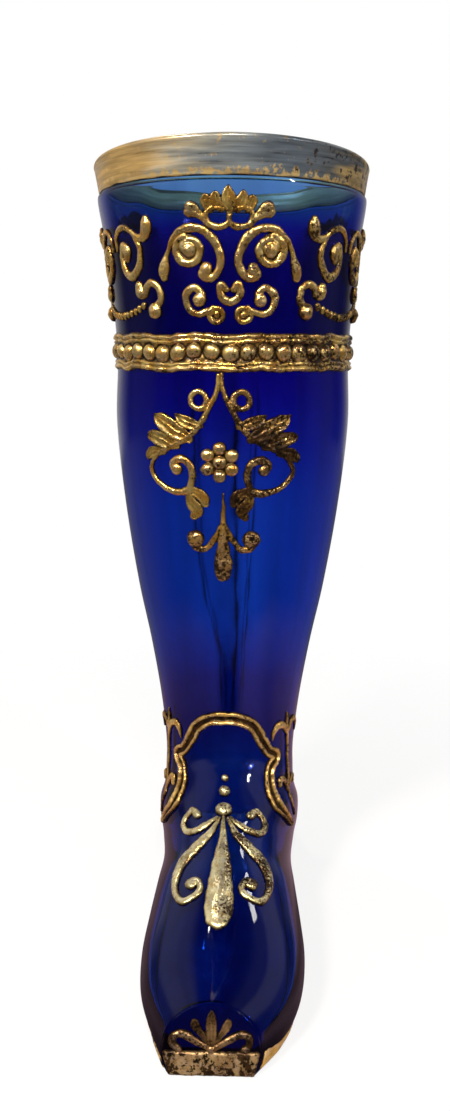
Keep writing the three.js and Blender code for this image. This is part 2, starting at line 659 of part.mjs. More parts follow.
const EDGE_STEPS = 14;
const EDGE_START_GAP = 0.5;
const EDGE_END_GAP = 0.15;
const edgeTurns = [0.77, 0.84, 0.91, 0.97].map((share) => share * SOLE_TURN);
for (const [half, side] of Object.entries(SIDE)) {
  const edgeRows = Array.from({ length: EDGE_STEPS + 1 }, (_, i) => {
    const k = mix(HEEL_TREAD + EDGE_START_GAP, TOE - EDGE_END_GAP, i / EDGE_STEPS);
    const under = edgeTurns.map((turn) => lifted(k, side * turn, CLEARANCE));
    const over = edgeTurns.map((turn) => lifted(k, side * turn, CLEARANCE + EDGE_THICKNESS));
    return [...under, ...over.reverse()];
  });
  add("sole_edge_" + half, wornGilt, bar(edgeRows));
}

export default scene;
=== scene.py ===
import json
from math import atan, ceil, cos, pi, radians, sin

import bpy
import numpy as np
from mathutils import Matrix, Vector

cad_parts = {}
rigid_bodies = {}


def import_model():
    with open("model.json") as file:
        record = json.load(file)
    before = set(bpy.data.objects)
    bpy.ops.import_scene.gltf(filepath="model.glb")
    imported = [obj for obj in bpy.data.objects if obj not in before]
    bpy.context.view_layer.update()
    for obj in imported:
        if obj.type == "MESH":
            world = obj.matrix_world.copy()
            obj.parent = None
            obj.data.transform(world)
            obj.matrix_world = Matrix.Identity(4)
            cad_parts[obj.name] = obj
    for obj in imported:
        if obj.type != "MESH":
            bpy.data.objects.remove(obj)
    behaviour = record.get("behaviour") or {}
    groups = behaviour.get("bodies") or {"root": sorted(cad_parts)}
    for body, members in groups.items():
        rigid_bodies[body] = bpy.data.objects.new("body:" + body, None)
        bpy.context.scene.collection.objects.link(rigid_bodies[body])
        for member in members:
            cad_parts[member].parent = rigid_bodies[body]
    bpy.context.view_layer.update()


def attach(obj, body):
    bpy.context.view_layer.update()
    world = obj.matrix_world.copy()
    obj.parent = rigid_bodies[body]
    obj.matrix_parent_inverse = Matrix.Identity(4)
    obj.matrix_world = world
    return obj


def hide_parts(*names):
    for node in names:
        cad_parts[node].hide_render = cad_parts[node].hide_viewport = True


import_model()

# The boot itself: one blown bubble of cobalt glass, a tall leg bent into a foot whose
# toe and sole were pressed flat. The wall is a few millimetres thick and runs slightly
# uneven inside, with faint upright cords, as hand-blown glass does.

MM = 0.001
RIM_HEIGHT, RIM_RISE, RIM_RADIUS, MOUTH_SWING = 276.8, 2.6, 49.4, 1.0
BAND_HEIGHT, BAND_FOOT_RADIUS, SHOULDER_DROP, SHOULDER_RADIUS = 10.3, 47.8, 2.4, 48.8
CUFF_DROP, CUFF_RADIUS, BELT_DROP, BELT_SEAT_RADIUS = 32.8, 45.9, 64.6, 43.6
CALF_DROP, CALF_RADIUS, SHIN_HEIGHT, SHIN_RADIUS = 90.8, 44.3, 123.5, 37.0
SMALL_HEIGHT, SMALL_RADIUS, ANKLE_HEIGHT, ANKLE_RADIUS = 76.0, 28.6, 51.0, 26.4
ANKLE_FRONT_RISE, ANKLE_FRONT_REACH = 9.5, 29.5
TOE_REACH, TOE_LEAN, TOE_HEIGHT, TOE_HALF, TOE_SWING = 122.4, 4.4, 21.6, 15.1, 2.4
BALL_REACH, BALL_HALF, VAMP_REACH, VAMP_HEIGHT = 78.0, 27.9, 90.0, 30.5
INSTEP_REACH, INSTEP_HEIGHT, WAIST_HALF, ARCH_HEIGHT = 50.0, 43.5, 25.4, 4.0
HEEL_BREAST_REACH, HEEL_REACH, HEEL_HEIGHT = 4.0, 41.0, 13.0
HEEL_UNDERCUT, HEEL_HALF = 3.0, 28.9
SOLE_TURN = 2 * pi / 3
ROUND, FLAT = 1.0, 0.5
SHOULDER, BELT, ANKLE, HEEL_TREAD, TOE = 2, 4, 10, 15, 22
SIDES, CORDED_TURNS, CORDED_HALF = 216, 107, 0.56
ROWS_PER_STATION, INNER_ROWS_PER_STATION, FOOT_FROM = 8, 7, 12.5
TOE_FILLET = [(0.996, 0.36), (0.987, 0.17), (0.972, 0.05), (0.955, 0), (0.66, 0), (0.33, 0)]


def mix(a, b, share):
    return a + (b - a) * share


def section(front, back, half, roundness=ROUND, shift=0.0):
    return (*front, *back, half, roundness, shift)


def ring(height, radius, rise=0.0, shift=0.0):
    return section((-radius, height + rise), (radius, height - rise), radius, ROUND, shift)


def ankle_front(share):
    """Points down the front of the ankle, on a hollow curve to the instep."""
    height = mix(INSTEP_HEIGHT, ANKLE_HEIGHT + ANKLE_FRONT_RISE, (1 - share) ** 2)
    return -mix(ANKLE_FRONT_REACH, INSTEP_REACH, share), height


BAND_FOOT, CALF_HEIGHT = RIM_HEIGHT - BAND_HEIGHT, RIM_HEIGHT - CALF_DROP
ANKLE_BACK = np.array([ANKLE_RADIUS, ANKLE_HEIGHT])
HEEL_BACK = np.array([HEEL_REACH, HEEL_HEIGHT])
HEEL_FOOT = np.array([HEEL_REACH - HEEL_UNDERCUT, 0.0])
BREAST = np.array([-HEEL_BREAST_REACH, 0.0])
BALL = np.array([-BALL_REACH, 0.0])
TOE_FOOT = np.array([-TOE_REACH, 0.0])
TOE_TOP = np.array([TOE_LEAN - TOE_REACH, TOE_HEIGHT])
VAMP = np.array([-VAMP_REACH, VAMP_HEIGHT])
INSTEP = np.array([-INSTEP_REACH, INSTEP_HEIGHT])
STATIONS = np.array([
    ring(RIM_HEIGHT, RIM_RADIUS, RIM_RISE, -MOUTH_SWING),
    ring(BAND_FOOT, BAND_FOOT_RADIUS, 0, -0.8 * MOUTH_SWING),
    ring(BAND_FOOT - SHOULDER_DROP, SHOULDER_RADIUS, 0, -0.7 * MOUTH_SWING),
    ring(RIM_HEIGHT - CUFF_DROP, CUFF_RADIUS, 0, -0.4 * MOUTH_SWING),
    ring(RIM_HEIGHT - BELT_DROP, BELT_SEAT_RADIUS),
    ring(CALF_HEIGHT, CALF_RADIUS),
    ring(mix(CALF_HEIGHT, SHIN_HEIGHT, 0.5), mix(CALF_RADIUS, SHIN_RADIUS, 0.38)),
    ring(SHIN_HEIGHT, SHIN_RADIUS),
    ring(mix(SHIN_HEIGHT, SMALL_HEIGHT, 0.5), mix(SHIN_RADIUS, SMALL_RADIUS, 0.55)),
    ring(SMALL_HEIGHT, SMALL_RADIUS),
    section(ankle_front(0), ANKLE_BACK, ANKLE_RADIUS),
    section(ankle_front(0.22), mix(ANKLE_BACK, HEEL_BACK, (0.26, 0.42)), ANKLE_RADIUS),
    section(ankle_front(0.46), mix(ANKLE_BACK, HEEL_BACK, (0.76, 0.74)),
            mix(ANKLE_RADIUS, HEEL_HALF, 0.25)),
    section(ankle_front(0.71), HEEL_BACK, HEEL_HALF, mix(ROUND, FLAT, 0.1)),
    section(INSTEP, HEEL_FOOT, HEEL_HALF, mix(ROUND, FLAT, 0.5)),
    section(mix(INSTEP, VAMP, 0.16), mix(HEEL_FOOT, BREAST, 0.48),
            mix(HEEL_HALF, WAIST_HALF, 0.5), FLAT),
    section(mix(INSTEP, VAMP, 0.35), BREAST, WAIST_HALF, FLAT),
    section(mix(INSTEP, VAMP, 0.55), mix(BREAST, BALL, 0.35) + (0, ARCH_HEIGHT),
            mix(WAIST_HALF, BALL_HALF, 0.2), FLAT),
    section(mix(INSTEP, VAMP, 0.76), mix(BREAST, BALL, 0.68),
            mix(WAIST_HALF, BALL_HALF, 0.78), FLAT),
    section(VAMP, BALL, BALL_HALF, FLAT),
    section(mix(VAMP, TOE_TOP, 0.36), mix(BALL, TOE_FOOT, 0.45),
            mix(BALL_HALF, TOE_HALF, 0.14), FLAT, -0.1 * TOE_SWING),
    section(mix(VAMP, TOE_TOP, 0.71), mix(BALL, TOE_FOOT, 0.77),
            mix(BALL_HALF, TOE_HALF, 0.53), FLAT, -0.3 * TOE_SWING),
    section(TOE_TOP, TOE_FOOT, TOE_HALF, FLAT, -TOE_SWING),
])
BEFORE = np.vstack([2 * STATIONS[0] - STATIONS[1], STATIONS, 2 * STATIONS[-1] - STATIONS[-2]])


def along(k):
    """The boot's section at places k down it, on a smooth curve through the stations."""
    k = np.asarray(k, float)
    i = np.clip(np.floor(k).astype(int), 0, TOE - 1)
    t = (k - i)[..., None]
    a, b, c, d = (BEFORE[i + n] for n in range(4))
    return b + 0.5 * t * (c - a + t * (2 * a - 5 * b + 4 * c - d + t * (3 * (b - c) + d - a)))


def skin(k, turn, wall=0.0, back_wall=0.0):
    """Points of the glass at places k, turned from the front, with walls taken off."""
    k, turn = np.broadcast_arrays(np.asarray(k, float), np.asarray(turn, float))
    s = along(k)
    front, back = s[..., 0:2], s[..., 2:4]
    roundness = np.clip(s[..., 5], FLAT, ROUND)
    depth = np.linalg.norm(front - back, axis=-1)
    share = np.maximum(0, (np.cos(turn) + roundness) / (1 + roundness))
    share = (back_wall + share * (depth - wall - back_wall)) / depth
    at = back + (front - back) * share[..., None]
    x = s[..., 6] + np.sin(turn) * (s[..., 4] - wall)
    return np.stack([x, at[..., 0], np.maximum(at[..., 1], 0)], -1)


def unit(v):
    return v / np.maximum(np.linalg.norm(v, axis=-1, keepdims=True), 1e-9)


def lifted(k, turn, lift):
    """Points at a height straight off the outside of the glass."""
    k, turn, lift = np.broadcast_arrays(*(np.asarray(v, float) for v in (k, turn, lift)))
    small = 0.02
    down = skin(np.minimum(k + small, TOE), turn) - skin(np.maximum(k - small, 0), turn)
    across = skin(k, turn + small) - skin(k, turn - small)
    return skin(k, turn) + unit(np.cross(down, across)) * lift[..., None]


def set_down(name, data):
    """Puts a mesh, a lamp or a camera into the scene."""
    thing = bpy.data.objects.new(name, data)
    bpy.context.scene.collection.objects.link(thing)
    return thing


def piece_of(name, points, faces, material, attributes):
    """A mesh object from points in millimetres, with its faces looking outwards."""
    points = np.asarray(points, float) * MM
    halves = [(f[0], f[2], f[3]) for f in faces if len(f) == 4]
    tri = np.asarray([tuple(f[:3]) for f in faces] + halves)
    a, b, c = (points[tri[:, n]] for n in range(3))
    if np.einsum("ij,ij->i", a, np.cross(b, c)).sum() < 0:
        faces = [f[::-1] for f in faces]
    mesh = bpy.data.meshes.new(name)
    mesh.from_pydata(points.tolist(), [], faces)
    mesh.shade_smooth()
    for label, values in attributes.items():
        attribute = mesh.attributes.new(label, "FLOAT", "POINT")
        attribute.data.foreach_set("value", np.asarray(values, np.float32))
    mesh.materials.append(material)
    return set_down(name, mesh)


def grid_faces(rows, sides, close_rows=False):
    """Four-sided faces over rows of points that each close into a ring."""
    count = rows if close_rows else rows - 1
    i, j = np.meshgrid(np.arange(count), np.arange(sides), indexing="ij")
    row, next_row, ahead = i * sides, ((i + 1) % rows) * sides, (j + 1) % sides
    corners = np.stack([row + j, row + ahead, next_row + ahead, next_row + j], -1)
    return corners.reshape(-1, 4).tolist()


def end_faces(points, rows, sides):
    """Three-sided faces that close the first and the last ring on the last two points."""
    last, fans = (rows - 1) * sides, []
    for j in range(sides):
        ahead = (j + 1) % sides
        fans += [(len(points) - 2, ahead, j), (len(points) - 1, last + j, last + ahead)]
    return fans


def seat(piece, cad_node):
    """Fixes a piece to the boot in the place of its CAD solid."""
    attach(piece, "root")
    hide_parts(cad_node)


def shader(name):
    material = bpy.data.materials.new(name)
    material.use_nodes = True
    material.node_tree.nodes.clear()
    return material, material.node_tree


def node(tree, kind, links=None, **values):
    """A shader node with its settings, its socket values and what feeds its sockets."""
    n = tree.nodes.new("ShaderNode" + kind)
    for key, value in values.items():
        setattr(n, key, value)
    for socket, value in (links or {}).items():
        if isinstance(value, bpy.types.NodeSocket):
            tree.links.new(value, n.inputs[socket])
        else:
            n.inputs[socket].default_value = value
    return n


def ramp(fac, stops):
    n = node(fac.id_data, "ValToRGB", {"Fac": fac})
    while len(n.color_ramp.elements) < len(stops):
        n.color_ramp.elements.new(1.0)
    for element, (at, colour) in zip(n.color_ramp.elements, stops):
        element.position = at
        element.color = (*(colour if isinstance(colour, tuple) else (colour,) * 3), 1.0)
    return n.outputs["Color"]


def spread(value, start=0.0, end=1.0, low=0.0, high=1.0):
    links = {0: value, 1: start, 2: end, 3: low, 4: high}
    return node(value.id_data, "MapRange", links).outputs[0]


def reckon(operation, first, *others, clamp=False):
    links = dict(enumerate((first, *others)))
    return node(first.id_data, "Math", links, operation=operation, use_clamp=clamp).outputs[0]


def noise(vector, scale, detail, rough=0.5):
    links = {"Vector": vector, "Scale": scale, "Detail": detail, "Roughness": rough}
    return node(vector.id_data, "TexNoise", links).outputs["Fac"]


def stretched(vector, scale):
    return node(vector.id_data, "Mapping", {"Vector": vector, "Scale": scale}).outputs["Vector"]


def blend(share, one, other):
    links = {0: share, 6: one, 7: other}
    return node(share.id_data, "Mix", links, data_type="RGBA").outputs[2]


def scaled(colour, by):
    links = {0: colour, 3: by}
    return node(colour.id_data, "VectorMath", links, operation="SCALE").outputs[0]


def mark(tree, label):
    return node(tree, "Attribute", attribute_name=label).outputs["Fac"]


def surface(height, strength, distance, sockets):
    """The last nodes of a finish: its bump, its body and the output that they reach."""
    tree = height.id_data
    bump = node(tree, "Bump", {"Height": height, "Strength": strength, "Distance": distance})
    body = node(tree, "BsdfPrincipled", {**sockets, "Normal": bump.outputs["Normal"]})
    return node(tree, "OutputMaterial", {"Surface": body.outputs[0]})


def places_in(tree):
    """The place on the boot, whole and apart as X, Y and Z."""
    coords = node(tree, "TexCoord").outputs["Object"]
    return coords, node(tree, "SeparateXYZ", {"Vector": coords}).outputs


COBALT, COBALT_DENSITY = (0.06, 0.24, 0.73, 1.0), 600.0
PAINTED_LIGHT_TINT = (0.15, 1.0, 1.0, 1.0)
TINT_TOP = 0.28
# Tints up the boot, partly the glass's own colour and partly painted light: the last stop paints a
# pale teal glow into the glass under the rim.
TINTS_AND_PAINTED_GLOW_UPWARD = [
    (0.0, (0.13, 0.39, 0.54)), (0.14, (0.14, 0.40, 0.55)), (0.26, (0.165, 0.14, 0.415)),
    (0.35, (0.20, 0.54, 0.78)), (0.56, (0.30, 0.59, 0.83)), (0.72, (0.34, 0.14, 0.64)),
    (0.90, (0.36, 0.14, 0.63)), (0.925, (0.36, 0.68, 0.68)),
]


def glass_finish():
    """Cobalt glass tinted by height, with paler and darker cords, a satin inside and painted light:
    a pale teal glow under the rim, more light to the right, dark lines on the cords and a pale pool
    over the toes.
    """
    material, tree = shader("cobalt_glass")
    coords, apart = places_in(tree)
    cords = noise(stretched(coords, (95.0, 95.0, 7.0)), 1.0, 2.0)
    swirl = noise(coords, 26.0, 3.0)
    tint = ramp(spread(apart["Z"], 0.0, TINT_TOP), TINTS_AND_PAINTED_GLOW_UPWARD)
    pale = spread(cords, 0.3, 0.7, 0.86, 1.14)
    # Painted light: the tint is painted darker to the left and paler to the right, as if more light
    # came through the glass on the right.
    aside = spread(apart["X"], -0.04, 0.04, 0.92, 1.08)
    # Painted shade: along the cords the tint is painted nearly black, standing in for dark shapes
    # seen through the glass.
    clear = spread(mark(tree, "cords_and_painted_shade"), low=1.0, high=0.004)
    pale = reckon("MULTIPLY", reckon("MULTIPLY", pale, aside), clear)
    # Painted light: the thin mark paints a paler blue pool over the toes.
    tint = blend(mark(tree, "thin"), scaled(tint, pale), PAINTED_LIGHT_TINT)
    smears = ramp(swirl, [(0.4, 0.012), (0.75, 0.05)])
    rough = reckon("MULTIPLY_ADD", mark(tree, "satin"), 0.34, smears)
    sockets = {"Base Color": tint, "Roughness": rough, "IOR": 1.5, "Transmission Weight": 1.0}
    output = surface(cords, 0.007, 0.0006, sockets)
    depth = node(tree, "VolumeAbsorption", {"Color": COBALT, "Density": COBALT_DENSITY})
    tree.links.new(depth.outputs[0], output.inputs["Volume"])
    return material


WALL_AT = [0, 1, 2, 3, 4, 5, 7, 9, 11, 13, 15, 18, 20, 21]
WALLS = [2.2, 2.3, 3.0, 3.6, 3.6, 3.2, 2.8, 2.9, 3.3, 3.6, 3.4, 3.4, 3.6, 4.0]
SOLE_WALL = 6.0
STREAKS = [
    ([(4, 0.42), (6, 0.46), (7, 0.47), (7.7, 0.40), (8.3, 0.26), (8.85, 0.17), (10.6, 0.12)],
     0.024, 1.0, 1.0),
    ([(4, 0.34), (6, 0.39), (7, 0.40), (7.7, 0.33), (8.3, 0.20), (8.85, 0.11), (10.6, 0.06)],
     0.026, 0.8, 4.0),
    ([(4, -0.28), (7, -0.25), (8, -0.22), (10.6, -0.22)], 0.020, 1.0, 3.5),
    ([(4, -0.20), (7, -0.18), (8, -0.155), (10.6, -0.15)], 0.020, 0.8, 5.0),
    ([(4, 0.05), (7, 0.03), (8, -0.01), (10.6, -0.03)], 0.036, 0.9, 2.0),
    ([(4, 0.10), (7, 0.10), (8, 0.04), (10.6, -0.04)], 0.11, 0.32, 0.6),
]
STREAK_DEPTH, STREAKS_FROM, STREAKS_TO, STREAKS_FADE = 0.6, 3.8, 10.6, 1.2
LIGHT_PATCH_FROM, LIGHT_PATCH_TO, LIGHT_PATCH_ASIDE, LIGHT_PATCH_HALF = 19.4, 21.95, 0.14, 0.26
WAVE_DEPTH, WAVES_TO = 0.10, 13.5
LIP_ROWS, LIP_DROP, SHARP_EDGE = 9, 1.5, 35


def wall_at(k):
    return np.interp(k, WALL_AT, WALLS)


def fade(value, start, length):
    """From 0 at the start to 1 at a length from it, which may be a negative one."""
    return np.clip((value - start) / length, 0, 1)


def cords_and_painted_shade(k, turn):
    """Wavy upright cords in the back of the leg, from 0 to 1: they dent the inner wall and darken
    the tint as painted shade.
    """
    total = 0.0
    for places, width, weight, phase in STREAKS:
        line = pi + np.interp(k, *zip(*places))
        line = line + 0.010 * np.sin(4.1 * k + phase) + 0.006 * np.sin(9.7 * k + 2 * phase)
        swollen = width * (1 + 0.45 * np.sin(7.3 * k + 3 * phase))
        total = total + weight * np.exp(-(((turn - line) / swollen) ** 2))
    ends = fade(k, STREAKS_FROM, STREAKS_FADE), fade(k, STREAKS_TO, -STREAKS_FADE)
    return np.clip(total, 0, 1) * ends[0] * ends[1]


def painted_light_on_vamp(k, turn):
    """A painted pool of light over the toes, where the blue is made paler, from 0 to 1."""
    aside = (np.sin(turn) + LIGHT_PATCH_ASIDE + 0.03 * np.sin(9 * k)) / LIGHT_PATCH_HALF
    across = np.exp(-(aside**4)) * (np.cos(turn) > 0)
    return across * fade(k, LIGHT_PATCH_FROM, 0.7) * fade(k, LIGHT_PATCH_TO, -0.25)


def inner_skin(k, turn):
    """The inside of the glass, with the slow upright waves of a blown wall."""
    wall = wall_at(k)
    roundness = np.clip(along(k)[..., 5], FLAT, ROUND)
    back = mix(wall, SOLE_WALL, (ROUND - roundness) / (ROUND - FLAT))
    waves = np.sin(7 * turn + 0.5 * k) + 0.7 * np.sin(11 * turn - 0.8 * k + 1)
    waves = waves + 0.5 * np.sin(17 * turn + 2)
    waves = waves * fade(k, WAVES_TO, -2) * fade(np.abs(np.sin(turn)), 0.85, -0.2)
    return skin(k, turn, wall + WAVE_DEPTH * waves + STREAK_DEPTH * cords_and_painted_shade(k, turn), back)


def lip(turn, bulge, lift=0.0):
    """The rounded lip: bulge 0 is its outside, 1 its inside, lift a height off the glass."""
    outer, inner = skin(0.0, turn), inner_skin(np.zeros_like(turn), turn)
    middle, reach = (outer + inner) / 2, (outer - inner) / 2
    half = np.linalg.norm(reach, axis=-1, keepdims=True)
    out = unit(reach) * (half + lift) * cos(pi * bulge)
    up = np.array([0, 0, 1.0]) * (half + lift) * sin(pi * bulge)
    return middle + out + up - np.array([0, 0, LIP_DROP])


def even_turns(count):
    return np.arange(count) / count * 2 * pi


around = even_turns(SIDES)
back = pi + np.linspace(-CORDED_HALF, CORDED_HALF, CORDED_TURNS)
turns = np.sort(np.append(around[np.abs(around - pi) > CORDED_HALF + 0.01], back))
sides = len(turns)
outer_ks = np.arange(0.12, TOE - 0.03, 1 / ROWS_PER_STATION)
outer_ks = np.append(outer_ks[outer_ks < TOE - 0.1], TOE - 0.06)
inner_ks = np.arange(TOE - 0.5, 0.11, -1 / INNER_ROWS_PER_STATION)
outer_at, inner_at = outer_ks[:, None], inner_ks[:, None]
outer_rows = skin(outer_at, turns)
footed = fade(outer_ks, FOOT_FROM, 2)[:, None, None]
for _ in range(2):
    soft = (np.roll(outer_rows, 1, 1) + 2 * outer_rows + np.roll(outer_rows, -1, 1)) / 4
    outer_rows = outer_rows + (soft - outer_rows) * footed
toe_edge = skin(float(TOE), turns)
toe_centre = toe_edge.mean(0)
toe_normal = unit(np.cross([1.0, 0, 0], toe_edge[0] - toe_centre))
toe_rows = [toe_centre + (toe_edge - toe_centre) * share - toe_normal * back
            for share, back in TOE_FILLET]
for row in toe_rows:
    row[:, 2] = np.maximum(row[:, 2], 0)
inner_rows = inner_skin(inner_at, turns)
inner_end = inner_rows[0].mean(0)
inner_caps = [inner_end + (inner_rows[0] - inner_end) * share for share in (0.35, 0.7)]
lip_rows = [lip(turns, 1 - i / (LIP_ROWS - 1)) for i in range(LIP_ROWS)]
rows = [*inner_caps, *inner_rows, *lip_rows, *outer_rows, *toe_rows]
points = [p for row in rows for p in row] + [inner_end, toe_centre]
faces = grid_faces(len(rows), sides) + end_faces(points, len(rows), sides)


def marks_on(inner, outer):
    """A mark for every point of the glass: none on the caps, the lip and the toe's face."""
    caps, lips = np.zeros(len(inner_caps) * sides), np.zeros(LIP_ROWS * sides)
    ends = np.zeros(len(toe_rows) * sides + 2)
    return np.concatenate([caps, inner.ravel(), lips, outer.ravel(), ends])


satin = fade(inner_at, 2.55, 0.3) * fade(inner_at, 4.4, -0.4)
bare = np.zeros((len(outer_ks), sides))
marks = {
    "cords_and_painted_shade": marks_on(cords_and_painted_shade(inner_at, turns), bare),
    "satin": marks_on(np.repeat(satin, sides, 1), bare),
    # The thin mark is painted light, a paler blue pool over the toes.
    "thin": marks_on(painted_light_on_vamp(inner_at, turns), painted_light_on_vamp(outer_at, turns)),
}
blown_boot = piece_of("blown_boot", points, faces, glass_finish(), marks)
blown_boot.data.set_sharp_from_angle(angle=radians(SHARP_EDGE))
seat(blown_boot, "glass_boot")

# Gilt band round the mouth: burnished gold fired onto the glass from the shoulder up and
# over the lip. It is rubbed thin in front, so that the blue shows, and flaked at its foot.

BAND_TURNS, LIP_LIFT, BAND_SUNK = 240, 0.3, -0.12
BAND_ACROSS = [
    (1, 0.02), (0.985, 0.3), (0.95, 0.42), (0.7, 0.45), (0.45, 0.45), (0.25, 0.45), (0.14, 0.4),
]
BAND_INSIDE = [(0.16, 0.3), (0.5, 0.3), (0.9, 0.3), (0.94, -0.15), (0.5, -0.15), (0.16, -0.15)]
# Colour across the rubbed front, from left to right: gold, grey-blue, near black, and gold again at
# the far right.
RUBBED_GOLD = [
    (0.10, (0.56, 0.36, 0.13)), (0.24, (0.57, 0.43, 0.24)), (0.36, (0.42, 0.40, 0.33)),
    (0.50, (0.22, 0.26, 0.29)), (0.72, (0.09, 0.13, 0.18)), (0.88, (0.10, 0.12, 0.14)),
    (0.97, (0.48, 0.34, 0.14)),
]
DARK_FLECKS = (0.035, 0.03, 0.035, 1.0)


def wave(u, v, length, seed):
    """A smooth uneven field from -1 to 1, whose swells are about a length apart."""
    draw = np.random.default_rng(seed)
    total = 0.0
    for _ in range(6):
        angle, phase = draw.uniform(0, 2 * pi, 2)
        pitch = 2 * pi / (length * draw.uniform(0.7, 1.5))
        total = total + np.sin(pitch * (u * cos(angle) + v * sin(angle)) + phase)
    return total / 3.0


def band_finish():
    """Brushed gold: rubbed in front, with dark flecks towards the right, and painted light inside
    the lip, where it is pale and matt.
    """
    material, tree = shader("burnished_band")
    coords, apart = places_in(tree)
    strokes = noise(stretched(coords, (60.0, 60.0, 900.0)), 1.0, 4.0)
    flakes = noise(coords, 380.0, 5.0, 0.7)
    clouds = noise(stretched(coords, (30.0, 30.0, 160.0)), 1.0, 3.0)
    tone = ramp(strokes, [(0.3, (0.42, 0.25, 0.08)), (0.7, (0.82, 0.59, 0.25))])
    drift = spread(clouds, 0.3, 0.7, -0.16, 0.16)
    across = reckon("ADD", spread(apart["X"], -0.048, 0.048), drift)
    brush = spread(strokes, 0.32, 0.68, 0.62, 1.24)
    rubbed = scaled(ramp(across, RUBBED_GOLD), brush)
    height = spread(apart["Z"], 0.2665, 0.2705)
    ragged = spread(flakes, 0.35, 0.65, -0.6, 0.6)
    front = spread(apart["Y"], 0.010, -0.020)
    thin = reckon("MULTIPLY", reckon("ADD", height, ragged), front, clamp=True)
    colour = blend(ramp(thin, [(0.34, 0.0), (0.60, 0.95)]), tone, rubbed)
    # Dark flecks grow towards the right.
    right = spread(apart["X"], 0.000, 0.042, 0.28, 0.46)
    chip = spread(reckon("SUBTRACT", right, flakes), -0.02, 0.03)
    colour = blend(chip, colour, DARK_FLECKS)
    inside = mark(tree, "inside")
    # Painted light: inside the lip the gold is painted pale and matt, so that it glows teal through
    # the glass.
    painted_lit_inside = ramp(strokes, [(0.3, (0.60, 0.46, 0.18)), (0.7, (0.90, 0.72, 0.34))])
    colour = blend(inside, colour, painted_lit_inside)
    metal = spread(inside, low=0.55, high=0.1)
    rough = ramp(strokes, [(0.2, 0.24), (0.8, 0.40)])
    sockets = {"Base Color": colour, "Metallic": metal, "Roughness": rough}
    surface(strokes, 0.12, 0.0002, sockets)
    return material


band_turns = even_turns(BAND_TURNS)
foot = 0.94 + 0.018 * wave(46 * np.cos(band_turns), 46 * np.sin(band_turns), 9.0, 11)
gilded = [lifted(foot * share, band_turns, lift) for share, lift in BAND_ACROSS]
gilded += [lip(band_turns, i / (LIP_ROWS - 1), LIP_LIFT) for i in range(LIP_ROWS)]
inside = [skin(np.full(BAND_TURNS, k), band_turns, wall_at(k) + over, wall_at(k) + over)
          for k, over in BAND_INSIDE]
under = [lip(band_turns, 1 - i / (LIP_ROWS - 1), BAND_SUNK) for i in range(LIP_ROWS)]
under += [lifted(foot * share, band_turns, BAND_SUNK) for share in (0.14, 0.5, 0.98)]
rows = gilded + inside + under
within = np.repeat([0, 1, 0], [len(part) * BAND_TURNS for part in (gilded, inside, under)])
faces = grid_faces(len(rows), BAND_TURNS, True)
rim_gilding = piece_of("rim_gilding", np.vstack(rows), faces, band_finish(), {"inside": within})
seat(rim_gilding, "rim_band")

# Beaded belt under the cuff: thick gilt paste laid round the leg, with a row of round
# beads pressed side by side on it between two hand-drawn mouldings.

BELT_WIDTH, BELT_FIELD = 12.8, 0.45
BEAD_COUNT, BEAD_RADIUS, BEAD_RISE, BEAD_SUNK = 45, 2.95, 1.9, 0.35
MOULDINGS = [(5.35, 0.95, 1.15), (3.75, 0.7, 1)]
BELT_TURNS, BELT_ROWS = 900, 46
LINE_KS = np.linspace(0, TOE, TOE * 20 + 1)
front_steps = np.linalg.norm(np.diff(skin(LINE_KS, 0.0), axis=0), axis=1)
FRONT_LINE = np.append(0, np.cumsum(front_steps))


def down_to(k):
    return float(np.interp(k, LINE_KS, FRONT_LINE))


def station_at(down):
    return np.interp(down, FRONT_LINE, LINE_KS)


def arc(off, power=2):
    return np.sqrt(np.maximum(0, 1 - off**power))


# Brown of the paste, shown in chips, and also used as painted shade in the hollows.
BROWN_PASTE_AND_SHADE = [(0.35, (0.012, 0.007, 0.003)), (0.7, (0.085, 0.038, 0.010))]
USUAL_SIDE_SPECKS = (-0.02, 0.03, 0.055)


